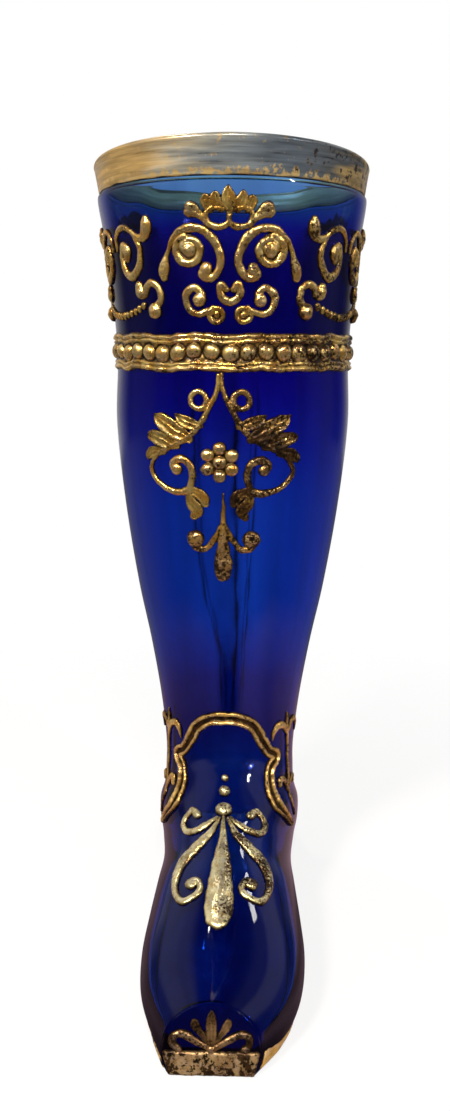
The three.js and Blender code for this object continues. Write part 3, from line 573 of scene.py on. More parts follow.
def gilt_finish(name, pale, deep, specks, patina_and_shade, rough=0.34, grain=900.0, side_specks=USUAL_SIDE_SPECKS,
                metal=0.9, lumpy=0.22):
    """Fired gilding over paste: two tones, dark specks, crests painted pale as burnished gold and
    painted highlight, and low edges brown as patina and painted shade.
    """
    material, tree = shader(name)
    coords, apart = places_in(tree)
    broad = noise(coords, 230.0, 3.0)
    patch = noise(coords, 120.0, 2.0)
    lumps = noise(coords, 520.0, 2.0)
    fine = noise(coords, grain, 5.0, 0.7)
    shade = spread(patch, 0.35, 0.65, 0.62, 1.12)
    tone = scaled(ramp(broad, [(0.32, deep), (0.62, pale)]), shade)
    limit = spread(patch, 0.35, 0.65, specks + 0.06, specks - 0.08)
    # More dark specks towards one side, along X.
    left, right, more = side_specks
    limit = reckon("ADD", limit, spread(apart["X"], left, right, -more, more))
    chip = spread(reckon("SUBTRACT", limit, fine), -0.02, 0.035)
    ragged = reckon("MULTIPLY_ADD", lumps, 0.5, mark(tree, "crest"))
    # Painted shade: low edges and hollows turn brown, partly patina and partly shade painted where
    # the paste meets the glass.
    hollow_patina_and_shade = spread(ragged, 0.54, 1.17, patina_and_shade, 0.0)
    dirt_and_shade = reckon("MAXIMUM", chip, hollow_patina_and_shade, clamp=True)
    # Painted highlight: the crests turn pale, partly burnished gold and partly a painted highlight.
    polish_and_highlight = spread(ragged, 1.16, 1.42, 0.0, 0.75)
    burnished_highlight = tuple(min(1.0, 0.40 + 0.62 * c) for c in pale)
    tone = blend(polish_and_highlight, tone, (*burnished_highlight, 1.0))
    colour = blend(dirt_and_shade, tone, ramp(lumps, BROWN_PASTE_AND_SHADE))
    sheen = spread(dirt_and_shade, low=metal, high=0.65)
    gloss = spread(broad, 0.25, 0.75, rough - 0.08, rough + 0.12)
    swells = reckon("MULTIPLY_ADD", chip, -0.35, lumps)
    sockets = {"Base Color": colour, "Metallic": sheen, "Roughness": gloss}
    surface(swells, lumpy, 0.0005, sockets)
    return material


gilt = gilt_finish("gilt", (1.0, 0.67, 0.18), (1.0, 0.46, 0.06), 0.44, 1.0, 0.25)

belt_middle = down_to(BELT)
belt_top, belt_foot = belt_middle - BELT_WIDTH / 2, belt_middle + BELT_WIDTH / 2
belt_turns = even_turns(BELT_TURNS)
belt_across = np.linspace(-BELT_WIDTH / 2, BELT_WIDTH / 2, BELT_ROWS)[:, None]
round_leg = belt_turns * BELT_SEAT_RADIUS
ux, uy = BELT_SEAT_RADIUS * np.cos(belt_turns), BELT_SEAT_RADIUS * np.sin(belt_turns)
height = BELT_FIELD + 0.07 * wave(ux, uy + belt_across, 2.6, 21)
height = height + 0.03 * wave(ux, uy + 3 * belt_across, 1.1, 23)
draw = np.random.default_rng(5)
girth = 2 * pi * BELT_SEAT_RADIUS
for bead in range(BEAD_COUNT):
    at = (bead * girth / BEAD_COUNT) + draw.uniform(-0.3, 0.3)
    size = BEAD_RADIUS * draw.uniform(0.88, 1.0)
    aside = (round_leg - at + girth / 2) % girth - girth / 2
    gap = np.hypot(aside, belt_across - draw.uniform(-0.25, 0.25)) / size
    dome = BELT_FIELD - BEAD_SUNK + BEAD_RISE * arc(gap)
    dent = BEAD_SUNK * np.exp(-(((gap - 1.06) / 0.16) ** 2))
    height = np.where(gap < 1, np.maximum(height, dome), np.maximum(height - dent, 0.12))
for edge, seed in ((-1, 31), (1, 37)):
    for out, width, tall in MOULDINGS:
        line = out + 0.24 * wave(ux, uy, 15.0, seed)
        line = line + 0.14 * wave(ux, uy, 5.0, seed + int(10 * out))
        wide = width * (1 + 0.25 * wave(ux, uy, 8.0, seed + 3))
        gap = np.abs(belt_across - edge * line) / wide
        tall_here = tall * (1 + 0.22 * wave(ux, uy, 6.0, seed + 5))
        height = np.maximum(height, tall_here * arc(gap))
height = height * fade(np.abs(belt_across), BELT_WIDTH / 2 + 0.05, -0.9) ** 0.5
sway = 0.35 * wave(ux, uy, 16.0, 41) + 0.15 * wave(ux, uy, 5.0, 43)
belt_k = station_at(belt_middle + belt_across * (1 + 0.02 * wave(ux, uy, 7.0, 47)) + sway)
top = lifted(belt_k, belt_turns, height - 0.05)
base = lifted(belt_k[::-9], belt_turns, BAND_SUNK)
points = np.vstack([top.reshape(-1, 3), base.reshape(-1, 3)])
# The low field between the beads and mouldings turns brown, partly patina and partly painted shade.
crest = np.append(fade(height, 0.1, 0.85).ravel(), np.zeros(len(base) * BELT_TURNS))
faces = grid_faces(BELT_ROWS + len(base), BELT_TURNS, True)
belt_gilding = piece_of("belt_gilding", points, faces, gilt, {"crest": crest})
seat(belt_gilding, "beaded_belt")

# Cuff ornament: trails of paste drawn on by hand and gilded, three times round the leg.
# Each repeat has a crowned bud, a pair of spirals, a heart, scrolls, commas and a seed chain.

GRID, TRACE_STEP, MARGIN, ROOM = 0.3, 0.22, 1.2, 0.9
SUNK, LEAST_RISE = 0.06, 0.08
CREST_FULL, EDGE_SHADE, EDGE_WIDTH, EDGE_PULL = 1.0, 0.15, 0.75, 0.4
FULLNESS = {"trail": 1.27, "bead": 1.1}


def sheet_on(start, turn_of):
    """A drawing sheet on the glass: u across, v down from a start, at a height off the glass."""
    def place(u, v, lift):
        k = station_at(start + v)
        return lifted(k, turn_of(u, k), lift)
    return place


def traced(places):
    """Points along a smooth line through a few places, each u, v and the width there."""
    p = np.array(places, float)
    if len(p) == 1:
        return p
    p = np.vstack([2 * p[0] - p[1], p, 2 * p[-1] - p[-2]])
    out = []
    for a, b, c, d in zip(p, p[1:], p[2:], p[3:]):
        steps = (b - a, c - b, d - c)
        before, span, after = (max(np.linalg.norm(step), 1e-4) ** 0.5 for step in steps)
        leave = ((b - a) / before - (c - a) / (before + span) + (c - b) / span) * span
        arrive = ((c - b) / span - (d - b) / (span + after) + (d - c) / after) * span
        t = np.arange(max(2, ceil(np.linalg.norm((c - b)[:2]) / TRACE_STEP)))[:, None]
        t = t / len(t)
        bend, twist = 3 * (c - b) - 2 * leave - arrive, 2 * (b - c) + leave + arrive
        out.append(b + leave * t + bend * t**2 + twist * t**3)
    return np.vstack([*out, p[-2:-1]])


def swell(form, off, width, share):
    """How high a trail stands at a share off its middle line, by its form."""
    rise = np.minimum(0.35 + 0.30 * width, 2.0)
    if form == "bead":
        return 0.42 * width * arc(off)
    if form == "leaf":
        rib = 0.26 * np.exp(-((off / 0.15) ** 2)) * np.sqrt(1 - 0.8 * share)
        return rise * arc(off, 8) * (0.36 + 0.56 * off**2.5 + rib)
    if form == "twin":
        return np.maximum(1.35 * arc((off - 0.66) / 0.34), LEAST_RISE)
    if form == "disc":
        return 0.20 * arc(off, 8)
    if form == "drop":
        return 0.85 * rise * arc(off)
    return rise * arc(off)


def corners_of(grid):
    """The four corners of every cell, each as a grid of its own."""
    return grid[:-1, :-1], grid[1:, :-1], grid[:-1, 1:], grid[1:, 1:]


def relief(sheet, marks, seed, uneven=1.0):
    """One closed body of paste on a sheet, from the trails, leaves and beads of an ornament."""
    lines = [(form, traced(places) * (1, 1, FULLNESS.get(form, 1))) for form, places in marks]
    reach = np.vstack([line for _, line in lines])
    low = (reach[:, :2] - reach[:, 2:] / 2).min(0) - MARGIN
    high = (reach[:, :2] + reach[:, 2:] / 2).max(0) + MARGIN
    us, vs = (np.arange(low[n], high[n] + GRID, GRID) for n in range(2))
    u, v = np.meshgrid(us, vs, indexing="ij")
    wu = u + uneven * (0.16 * wave(u, v, 6.0, seed) + 0.06 * wave(u, v, 2.0, seed + 1))
    wv = v + uneven * (0.16 * wave(u, v, 6.0, seed + 2) + 0.06 * wave(u, v, 2.0, seed + 3))
    inside = np.full(u.shape, -9.0)
    height = np.zeros(u.shape)
    for form, line in lines:
        half = line[:, 2] / 2
        lo = np.floor(((line[:, :2] - half[:, None]).min(0) - ROOM - low) / GRID).astype(int)
        hi = np.ceil(((line[:, :2] + half[:, None]).max(0) + ROOM - low) / GRID).astype(int) + 1
        area = tuple(slice(max(lo[n], 0), hi[n]) for n in range(2))
        du = wu[area][..., None] - line[:, 0]
        dv = wv[area][..., None] - line[:, 1]
        room = half - np.hypot(du, dv)
        best = room.argmax(-1)
        fit = np.take_along_axis(room, best[..., None], -1)[..., 0]
        off = np.clip(1 - fit / half[best], 0, 1)
        stand = swell(form, off, line[best, 2], best / max(1, len(line) - 1))
        under = 0.0 if form == "leaf" else height[area]
        height[area] = np.where(fit > 0, np.maximum(under, stand), height[area])
        inside[area] = np.maximum(inside[area], fit)
    height *= 1 + uneven * (0.05 * wave(u, v, 2.2, seed + 4) + 0.03 * wave(u, v, 0.9, seed + 5))
    within = inside > 0.03
    kept = np.logical_or.reduce(corners_of(within))
    for _ in range(2):
        a, b, c, d = corners_of(kept)
        pinch = (a & d & ~b & ~c) | (b & c & ~a & ~d)
        for corner in (a, b, c, d):
            corner |= pinch
    gu, gv = np.gradient(inside, GRID)
    slope = np.maximum(np.hypot(gu, gv), 0.35)
    pull = np.clip(-inside / slope, -EDGE_PULL, EDGE_PULL)
    u = np.where(within, u, u + pull * gu / slope)
    v = np.where(within, v, v + pull * gv / slope)
    used = np.zeros(u.shape, bool)
    for corner in corners_of(used):
        corner |= kept
    top_at = np.full(u.shape, -1)
    top_at[used] = np.arange(used.sum())
    under = used & within
    base_at = top_at.copy()
    base_at[under] = used.sum() + np.arange(under.sum())
    lift = np.where(within, np.maximum(height, LEAST_RISE), -SUNK)
    top = sheet(u[used], v[used], lift[used])
    base = sheet(u[under], v[under], np.full(under.sum(), -SUNK))
    i, j = np.nonzero(kept)
    corners = ((i, j), (i + 1, j), (i + 1, j + 1), (i, j + 1))
    faces = np.stack([top_at[c] for c in corners], -1).tolist()
    faces += np.stack([base_at[c] for c in reversed(corners)], -1).tolist()
    # The crest is held low at the edges, so the trails get brown rims, partly patina and partly
    # painted shade.
    worked = np.minimum(lift / CREST_FULL, EDGE_SHADE + inside / EDGE_WIDTH)
    crest = np.concatenate([np.clip(worked[used], 0, 1), np.zeros(under.sum())])
    return np.vstack([top, base]), faces, crest


def gild(cad_node, sheet, marks, finish, seed, uneven=1.0):
    points, faces, crest = relief(sheet, marks, seed, uneven)
    seat(piece_of("gilding_" + cad_node, points, faces, finish, {"crest": crest}), cad_node)


SIDE = {"left": -1, "right": 1}


def mirrored(places, side):
    return [(side * u, v, width) for u, v, width in places]


def on_both(marks):
    return [(form, mirrored(places, side)) for side in SIDE.values() for form, places in marks]


def gild_half(cad_node, half, sheet, marks, finish, seed):
    """The left or the right one of a pair of ornaments that mirror each other."""
    turned = [(form, mirrored(places, SIDE[half])) for form, places in marks]
    gild(f"{cad_node}_{half}", sheet, turned, finish, seed + SIDE[half])


def coil(centre, start_radius, end_radius, start, sweep, width):
    count = ceil(abs(sweep) / 45)
    places = []
    for i in range(count + 1):
        a = radians(start + sweep * i / count)
        r = mix(start_radius, end_radius, (i / count) ** 3)
        places.append((centre[0] + r * cos(a), centre[1] + r * sin(a), width))
    return places


CUFF_PLACES = ["front", "right", "left"]
cuff_top = down_to(SHOULDER)
cuff_drop = belt_top - cuff_top
half_repeat = pi * CUFF_RADIUS / len(CUFF_PLACES)

BUD = [(0, 16.4, 2.4), (0, 11.5, 4.4), (0, 7.2, 4), (0, 1.2, 0.8)]
BUD_STEM = [(0, 15.5, 1.9), (0, 20, 1.6), (0, 24.6, 1.6)]
INNER_PETAL = [(5.4, 17, 1.7), (7.4, 12.6, 3.4), (8.6, 8.6, 3.4), (8.9, 5, 1.1)]
OUTER_PETAL = [(11.4, 17.2, 1.7), (13.6, 13.4, 3.3), (14.8, 10.4, 3.2), (14.8, 7.6, 1.2)]
PETAL_TIE = [
    (1.6, 16.2, 1.2), (6, 15.6, 1.3), (11, 15.6, 1.4), (14.4, 18, 1.5), (15.2, 21.6, 1.6),
    (13.4, 25, 1.6),
]
BASE_BOW = [
    (0, 24.6, 1.7), (3.4, 27.2, 1.7), (8, 27.9, 1.8), (12.8, 25.9, 1.9), (17.2, 22, 1.9),
    (21.4, 19.4, 2), (25, 17.8, 2.4),
]
WING = [(17.6, 20.6, 1.3), (20.4, 16.6, 1.7), (23, 14.2, 2.4), (25, 13.8, 2.8)]
HEART = [(2.7, 69.7, 2), (5.6, 66.7, 2.2), (7.4, 70.6, 2.2), (5.1, 76, 2.3)]
ARCH = [
    (48.1, 61, 2.4), (47.7, 55.8, 3.2), (44.4, 45.8, 1.6), (39.5, 35.3, 1.7), (31.9, 29.2, 2.1),
    (24.7, 27.9, 2.3), (16.5, 30.5, 2.4), (9.5, 38.1, 2.4), (6.2, 47.9, 2.3), (7.4, 56.6, 2.2),
    (12.8, 61.9, 2.4), (18.1, 59.7, 3), (16, 55.3, 3.2),
]
LOWER_SCROLL = [
    (21, 77.6, 3.2), (20.2, 72.3, 2.2), (25.5, 68.4, 2.2), (31.5, 73.6, 2.3), (29.8, 82.8, 2.1),
    (22.6, 87.1, 2), (16.2, 84.6, 1.8), (12.6, 83.6, 1.6),
]
COMMA = [
    (59.5, 20.5, 2.2), (59.7, 25.3, 3.8), (63.8, 32.9, 2.4), (71.2, 30.9, 1.8), (79.4, 25.3, 1.8),
    (88.5, 24.8, 1.8), (94.7, 30.9, 1.6), (96.1, 39.2, 1.2),
]
COMMA_LOOP = [
    (72.4, 30.1, 1.6), (68.1, 40.5, 2), (70.4, 52.3, 2.4), (78.2, 59.3, 2.8), (86.8, 54.5, 2.4),
    (89.7, 44.4, 2), (86, 37, 2.4), (81.9, 41.8, 3.4), (82.7, 46.2, 2.6),
]
CURL = [
    (56.4, 81.5, 2.2), (52.3, 76.7, 2.2), (53.1, 68.8, 2.2), (58.8, 64.5, 2.2), (64.2, 67.1, 2.2),
    (66.7, 72.3, 2.4), (70.8, 71, 3.6), (72, 66.7, 3),
]
HEART_FOOT, LOWER_BEAD, CURL_BEAD = [(0, 78.2, 2.4)], [(21.6, 77.0, 4.4)], [(57.6, 84.5, 5.2)]
WING_BEADS = [[(25.0, 14.4, 3.6)], [(26.4, 17.8, 3.2)]]
ARCH_BEADS = [[(16.4, 56.4, 4.0)], [(48, 58.5, 3.4)]]
BOSS, LOWER_BOSS = [(28, 42.7, 4.6)], [(9.7, 87.2, 2.2)]
SEEDS, SWAG_REACH, SWAG_FOOT, SWAG_RISE = 13, 31.3, 87.1, 7


def on_swag(share, width):
    return 100 + SWAG_REACH * share, SWAG_FOOT - SWAG_RISE * share**2, width


def on_cuff(places):
    """Places given as shares of half a repeat across and of the cuff's height down."""
    return [(u / 100 * half_repeat, v / 100 * cuff_drop, width) for u, v, width in places]


def cuff_marks(form, *lines):
    return [(form, on_cuff(places)) for places in lines]


def coiled_end(boss, disc, *turns):
    """A coil that ends in a bead, on a thin disc of paste."""
    (u, v, _), = at = on_cuff(boss)
    return [("trail", coil((u, v), *turns)), ("bead", at), ("disc", [(u, v, disc)])]


crown = cuff_marks("trail", BUD_STEM) + on_both(cuff_marks("leaf", OUTER_PETAL, INNER_PETAL))
crown += cuff_marks("leaf", BUD)
crown += on_both(cuff_marks("trail", PETAL_TIE, BASE_BOW, WING) + cuff_marks("bead", *WING_BEADS))
heart = on_cuff(HEART + HEART_FOOT) + mirrored(on_cuff(HEART), -1)[::-1]
spiral = cuff_marks("trail", ARCH) + coiled_end(BOSS, 10.0, 4.5, 0.8, -75, 470, 2.1)
spiral += cuff_marks("bead", *ARCH_BEADS)
lower = cuff_marks("trail", LOWER_SCROLL) + coiled_end(LOWER_BOSS, 6.0, 2.6, 1.6, -60, 400, 1.5)
lower += cuff_marks("bead", LOWER_BEAD)
comma = cuff_marks("trail", COMMA, COMMA_LOOP)
curl = cuff_marks("trail", CURL) + cuff_marks("bead", CURL_BEAD)
seeds = []
for share in (2 * i / (SEEDS - 1) - 1 for i in range(SEEDS)):
    (u, v, width), = on_cuff([on_swag(share, 2.3)])
    seeds += [("bead", [(u, v, width)]), ("bead", [(u, v + 0.7, 1.9)])]
seeds += cuff_marks("trail", [on_swag(share, 0.8) for share in np.linspace(-1, 1, 9)])
for repeat, place in enumerate(CUFF_PLACES):
    shift = 2 * repeat * half_repeat
    cuff = sheet_on(cuff_top, lambda u, k, shift=shift: (u + shift) / CUFF_RADIUS)
    name, seed = f"cuff_{place}_", 100 * (repeat + 1)
    gild(name + "crown", cuff, crown, gilt, seed + 1)
    gild(name + "heart", cuff, [("trail", heart)], gilt, seed + 2)
    for half in SIDE:
        gild_half(name + "spiral", half, cuff, spiral, gilt, seed + 10)
        gild_half(name + "lower_scroll", half, cuff, lower, gilt, seed + 20)
        gild_half(name + "comma", half, cuff, comma, gilt, seed + 30)
        gild_half(name + "curl", half, cuff, curl, gilt, seed + 40)
    gild(name + "seed_swag", cuff, seeds, gilt, seed + 50)

# Leg ornament: two leafy sprays round a rosette of beads, and a drop with two arms, all of
# gilt paste. The leaves get their raised edge and rib while the paste is wet.

LEG_CENTRE, LEG_DROP_CENTRE = -3.4, 1.3
ROSETTE_DOWN, ROSETTE_RADIUS, ROSETTE_BEADS, ROSETTE_BEAD = 30.4, 4.9, 6, 4.3
leg = sheet_on(belt_foot, lambda u, k: (u + LEG_CENTRE) / along(k)[..., 4])
# The right spray is gilded darker than the left one.
darker_gilt = gilt_finish("darker_gilt", (0.84, 0.48, 0.12), (0.20, 0.09, 0.02), 0.55, 1.0, 0.25)


def leg_drop(u, v, lift):
    return leg(u + LEG_DROP_CENTRE, v, lift)


SPRAY_ARM = [
    (0.45, 0.8, 1.2), (0.6, 4.2, 1.4), (1.9, 8.2, 1.5), (4.4, 13.2, 1.7), (8.4, 19.4, 1.8),
    (13.2, 23.2, 1.8), (19.2, 26.1, 1.8), (23.8, 28.9, 1.6), (26.4, 33.4, 1.5), (24.6, 37.4, 1.6),
    (20.1, 40.4, 1.9), (13.8, 41.4, 2.2), (10.6, 40.2, 2.2),
]
SPRAY_INNER = [
    (10.6, 40.2, 2.2), (9.6, 34.8, 2.2), (11, 31, 2.2), (14.3, 29.6, 2.4), (16.8, 31.4, 2.6),
    (15.5, 33.3, 3.4),
]
SPRAY_LEAVES = [
    [(20.6, 27.4, 2.4), (24.6, 27.6, 4.2), (27.2, 28.8, 3.6), (28.2, 30.6, 1.2)],
    [(15.4, 25.2, 2.8), (20.8, 23.4, 5.4), (25.0, 22.2, 4.6), (28.0, 21.8, 1.2)],
    [(10.6, 22.4, 3.2), (16.2, 19.6, 6.4), (20.6, 17.2, 5.8), (24.8, 14.6, 1.0)],
    [(6.6, 18.0, 2.4), (9.4, 17.6, 4.0), (12.6, 16.4, 4.4), (15.6, 14.6, 1.4)],
    [(11.4, 41.0, 2.4), (8.4, 41.0, 3.6), (5.8, 42.8, 4.0), (5.0, 45.2, 2.6)],
    [(11.0, 42.4, 2.6), (9.8, 45.2, 4.2), (7.8, 47.6, 4.4), (9.0, 49.8, 3.0)],
]
SPRAY_BUD = [(4.4, 12.2, 1.6), (5.8, 11.6, 1.6)]
trails = (SPRAY_ARM, coil((7.4, 9.4), 2.9, 2.9, 20, -345, 1.7), SPRAY_INNER, SPRAY_BUD)
spray = [("leaf", leaf) for leaf in SPRAY_LEAVES] + [("trail", trail) for trail in trails]
gild_half("leg_spray", "left", leg, spray, gilt, 500)
gild_half("leg_spray", "right", leg, spray, darker_gilt, 500)
rosette = [("disc", [(0, ROSETTE_DOWN, 2 * ROSETTE_RADIUS)])]
rosette += [("bead", [(0, ROSETTE_DOWN, ROSETTE_BEAD)])]
for i in range(ROSETTE_BEADS):
    a = (i + 0.5) / ROSETTE_BEADS * 2 * pi
    at = (ROSETTE_RADIUS * cos(a), ROSETTE_DOWN + ROSETTE_RADIUS * sin(a))
    rosette.append(("bead", [(*at, ROSETTE_BEAD)]))
gild("leg_rosette", leg, rosette, gilt, 510, uneven=0.4)
LEG_DROP = [
    (0, 41.4, 0.8), (0, 48.5, 1.8), (0, 56.4, 3.2), (0, 63.2, 5.4), (0, 68, 6.6), (0, 71.2, 5.8),
    (0, 72.9, 2.4),
]
LEG_ARM = [(0.8, 52.6, 1), (3.4, 58.4, 1.7), (6.4, 61.8, 2), (9.8, 61.4, 2.2), (11.8, 58.6, 2.4)]
drop = [("drop", LEG_DROP)] + on_both([("trail", LEG_ARM), ("bead", [(10, 58.2, 5.9)])])
speckled_gilt = gilt_finish("speckled_gilt", (0.92, 0.52, 0.11), (0.55, 0.26, 0.04), 0.53, 0.95,
                            rough=0.32, grain=620.0)
gild("leg_drop", leg_drop, drop, speckled_gilt, 520)
# The glass shows no mirror image of the gilding that stands in front of it.
for piece in bpy.context.scene.objects:
    if piece.name.startswith(("gilding_leg", "gilding_cuff_front", "belt_gilding")):
        piece.visible_glossy = False

# Ankle: a cartouche moulding of two ridges with a groove between them, trailed in paste
# over the ankle and down both sides, with a leafy spray at each end, and gilded.

ANKLE_LINE, FOOT_CENTRE = 22.3, -1.1
CARTOUCHE_WIDTH, CARTOUCHE_SIDE, CARTOUCHE_END = 5.8, 4.8, 2.4
foot_top = down_to(ANKLE) - ANKLE_LINE
foot_sheet = sheet_on(foot_top, lambda u, k: (u + FOOT_CENTRE) / along(k)[..., 4])
CARTOUCHE = [
    (6.8, 8.8), (11.6, 12.5), (14.7, 17.9), (17.6, 21.9), (21.4, 24.5), (18.9, 28.2), (18, 32.5),
    (19.2, 38), (22.5, 44.2), (30.6, 51.8),
]
half_line = [(u, v, mix(CARTOUCHE_WIDTH, CARTOUCHE_SIDE, min(1, u / 18)))
             for u, v in CARTOUCHE[:-1]]
half_line.append((*CARTOUCHE[-1], CARTOUCHE_END))
cartouche = mirrored(half_line, -1)[::-1] + [(0, 7.6, CARTOUCHE_WIDTH)] + half_line
warm_gilt = gilt_finish("warm_gilt", (1.0, 0.62, 0.17), (0.58, 0.29, 0.05), 0.43, 1.0,
                        rough=0.28, grain=1000.0, metal=0.75)
gild("ankle_cartouche", foot_sheet, [("twin", cartouche)], warm_gilt, 600)
ANKLE_SPRAY = [
    [(27.4, 9.4, 0.8), (27.8, 14.6, 1.5), (29.2, 22.6, 1.6), (29.8, 31.2, 1.5), (30.2, 39.6, 1.4),
     (34.4, 48.6, 0.8)],
    [(28.0, 17.2, 1.6), (25.6, 14.2, 2.3), (22.4, 13.4, 2.4), (20.2, 15.4, 1.7), (19.3, 18.4, 0.7)],
    [(29.4, 38.6, 1.4), (26.8, 34.4, 2.0), (24.4, 33.8, 2.4), (24.0, 36.2, 1.8)],
    [(28.6, 17.2, 1.2), (31.0, 14.2, 1.6), (34.2, 13.4, 1.7), (36.4, 15.4, 1.3), (37.3, 18.4, 0.7)],
    [(30.4, 38.6, 1.1), (33.0, 34.4, 1.5), (35.4, 33.8, 1.7), (35.8, 36.2, 1.4)],
]
spray = [("trail", places) for places in ANKLE_SPRAY]
for half in SIDE:
    gild_half("ankle_spray", half, foot_sheet, spray, warm_gilt, 610)

# Instep: a palmette of scrolls round a long drop, under three graded beads, laid on in
# paste, with the palest gilding of the boot, partly its own tone and partly painted light.

# Painted light: the instep's gilding is painted paler and brighter, partly its own tone and partly
# a painted highlight where it faces up to the light.
pale_lit_gilt = gilt_finish("pale_lit_gilt", (1.0, 0.87, 0.43), (0.56, 0.35, 0.11), 0.43, 1.0,
                          rough=0.26, grain=1300.0, side_specks=(-0.005, 0.003, 0.095),
                          metal=0.72, lumpy=0.14)
UPPER_SCROLL = [
    (2.6, 48.4, 1.2), (5.6, 51.8, 1.9), (10, 54.9, 2.4), (14.2, 55.8, 2.6), (15.9, 52.8, 2.1),
    (14.4, 48, 1.7), (11.7, 45.4, 2.4), (10.4, 47.4, 3.4),
]
LOWER_INSTEP = [
    (1.5, 48.6, 1), (4.4, 55.6, 2.2), (9.6, 62.4, 3.1), (15, 68.8, 3.2), (17.6, 75, 2.8),
    (17, 80.2, 2.4), (13.6, 83.8, 2.1), (9.3, 82.8, 2), (7, 79.4, 2), (8.6, 76.6, 2.4),
    (10.8, 77.8, 3.4),
]
INSTEP_DROP = [
    (0, 47.6, 1.4), (0, 58, 3.2), (-0.1, 68.4, 6.4), (-0.3, 78, 8.8), (-0.4, 86, 10),
    (-0.5, 91, 8.8), (-0.5, 94, 3.6),
]
INSTEP_BEADS = {"small": (31.4, 2.7), "middle": (36.5, 4.1), "large": (44.5, 6.1)}
upper, lower = [("trail", UPPER_SCROLL)], [("trail", LOWER_INSTEP)]
for half in SIDE:
    gild_half("instep_upper_scroll", half, foot_sheet, upper, pale_lit_gilt, 700)
    gild_half("instep_lower_scroll", half, foot_sheet, lower, pale_lit_gilt, 710)
gild("instep_drop", foot_sheet, [("drop", INSTEP_DROP)], pale_lit_gilt, 720)
for size, (down, width) in INSTEP_BEADS.items():
    bead = [("bead", [(0, down, width)])]
    gild("instep_bead_" + size, foot_sheet, bead, pale_lit_gilt, 730, uneven=0.5)

# Toe: the flat pressed face carries a small palmette with two scroll arms and a bead,
# over a plate of thick worn gilding along its foot.

PLATE_HEIGHT, PLATE_BAR, OFF_FLOOR = 7.2, 1.6, 0.02
toe_foot, toe_top = skin(float(TOE), pi), skin(float(TOE), 0.0)
toe_up = unit(toe_top - toe_foot)
toe_out = np.cross([1.0, 0, 0], toe_up)
toe_face = float(np.linalg.norm(toe_top - toe_foot))


def toe_sheet(u, v, lift):
    """The toe's flat face: u across, v up it."""
    at = toe_foot + np.asarray(v)[..., None] * toe_up + np.asarray(lift)[..., None] * toe_out
    at[..., 0] = np.asarray(u) - TOE_SWING
    at[..., 2] = np.maximum(at[..., 2], OFF_FLOOR)
    return at


petal_foot = PLATE_HEIGHT + 4
SIDE_PETAL = [
    (0.9, petal_foot - 1.6, 1.7), (3.2, petal_foot + 1.9, 2.3), (4.8, petal_foot + 4.2, 2.9),
    (5.2, petal_foot + 5.2, 2.2),
]
MIDDLE_PETAL = [
    (0, petal_foot - 2.0, 2.2), (0, petal_foot + 2.6, 3.3), (0, toe_face - 4.6, 2.6),
    (0, toe_face - 2.4, 0.8),
]
TOE_SCROLL = [
    (0.9, 1.4, 1.5), (5.2, 3.8, 1.9), (9, 5.6, 2.1), (11.2, 4.9, 2.1), (11.6, 2.7, 2.1),
    (10, 0.9, 1.9),
]
toe_gilt = gilt_finish("toe_gilt", (0.72, 0.42, 0.17), (0.33, 0.16, 0.06), 0.50, 1.0, 0.30, 1000.0)
petals = on_both([("leaf", SIDE_PETAL)]) + [("leaf", MIDDLE_PETAL)]
gild("toe_palmette", toe_sheet, petals, toe_gilt, 800)
scroll = [("trail", [(u, PLATE_HEIGHT + v, width) for u, v, width in TOE_SCROLL])]
for half in SIDE:
    gild_half("toe_scroll", half, toe_sheet, scroll, toe_gilt, 810)
gild("toe_bead", toe_sheet, [("bead", [(0, PLATE_HEIGHT + 0.9, 2.8)])], toe_gilt, 820, uneven=0.4)
plate_gilt = gilt_finish("plate_gilt", (0.66, 0.42, 0.18), (0.40, 0.22, 0.09), 0.52, 0.8,
                         rough=0.36, grain=620.0, side_specks=(-0.02, 0.02, 0.0), metal=0.7)
plate_foot_half = TOE_HALF * sin(SOLE_TURN)
plate_top_half = TOE_HALF - 0.1
plate = []
for v in np.arange(1.0, PLATE_HEIGHT - 0.6, 0.7):
    half = mix(plate_foot_half, plate_top_half, v / PLATE_HEIGHT) - 1.0
    plate.append(("trail", [(-half, v, PLATE_BAR), (0, v, PLATE_BAR), (half, v, PLATE_BAR)]))
gild("toe_plate", toe_sheet, plate, plate_gilt, 830, 0.8)

# Sole edge: a strip of gilding brushed along each side of the foot where it meets the
# floor, from the toe back to the waist, worn to a ragged upper edge.

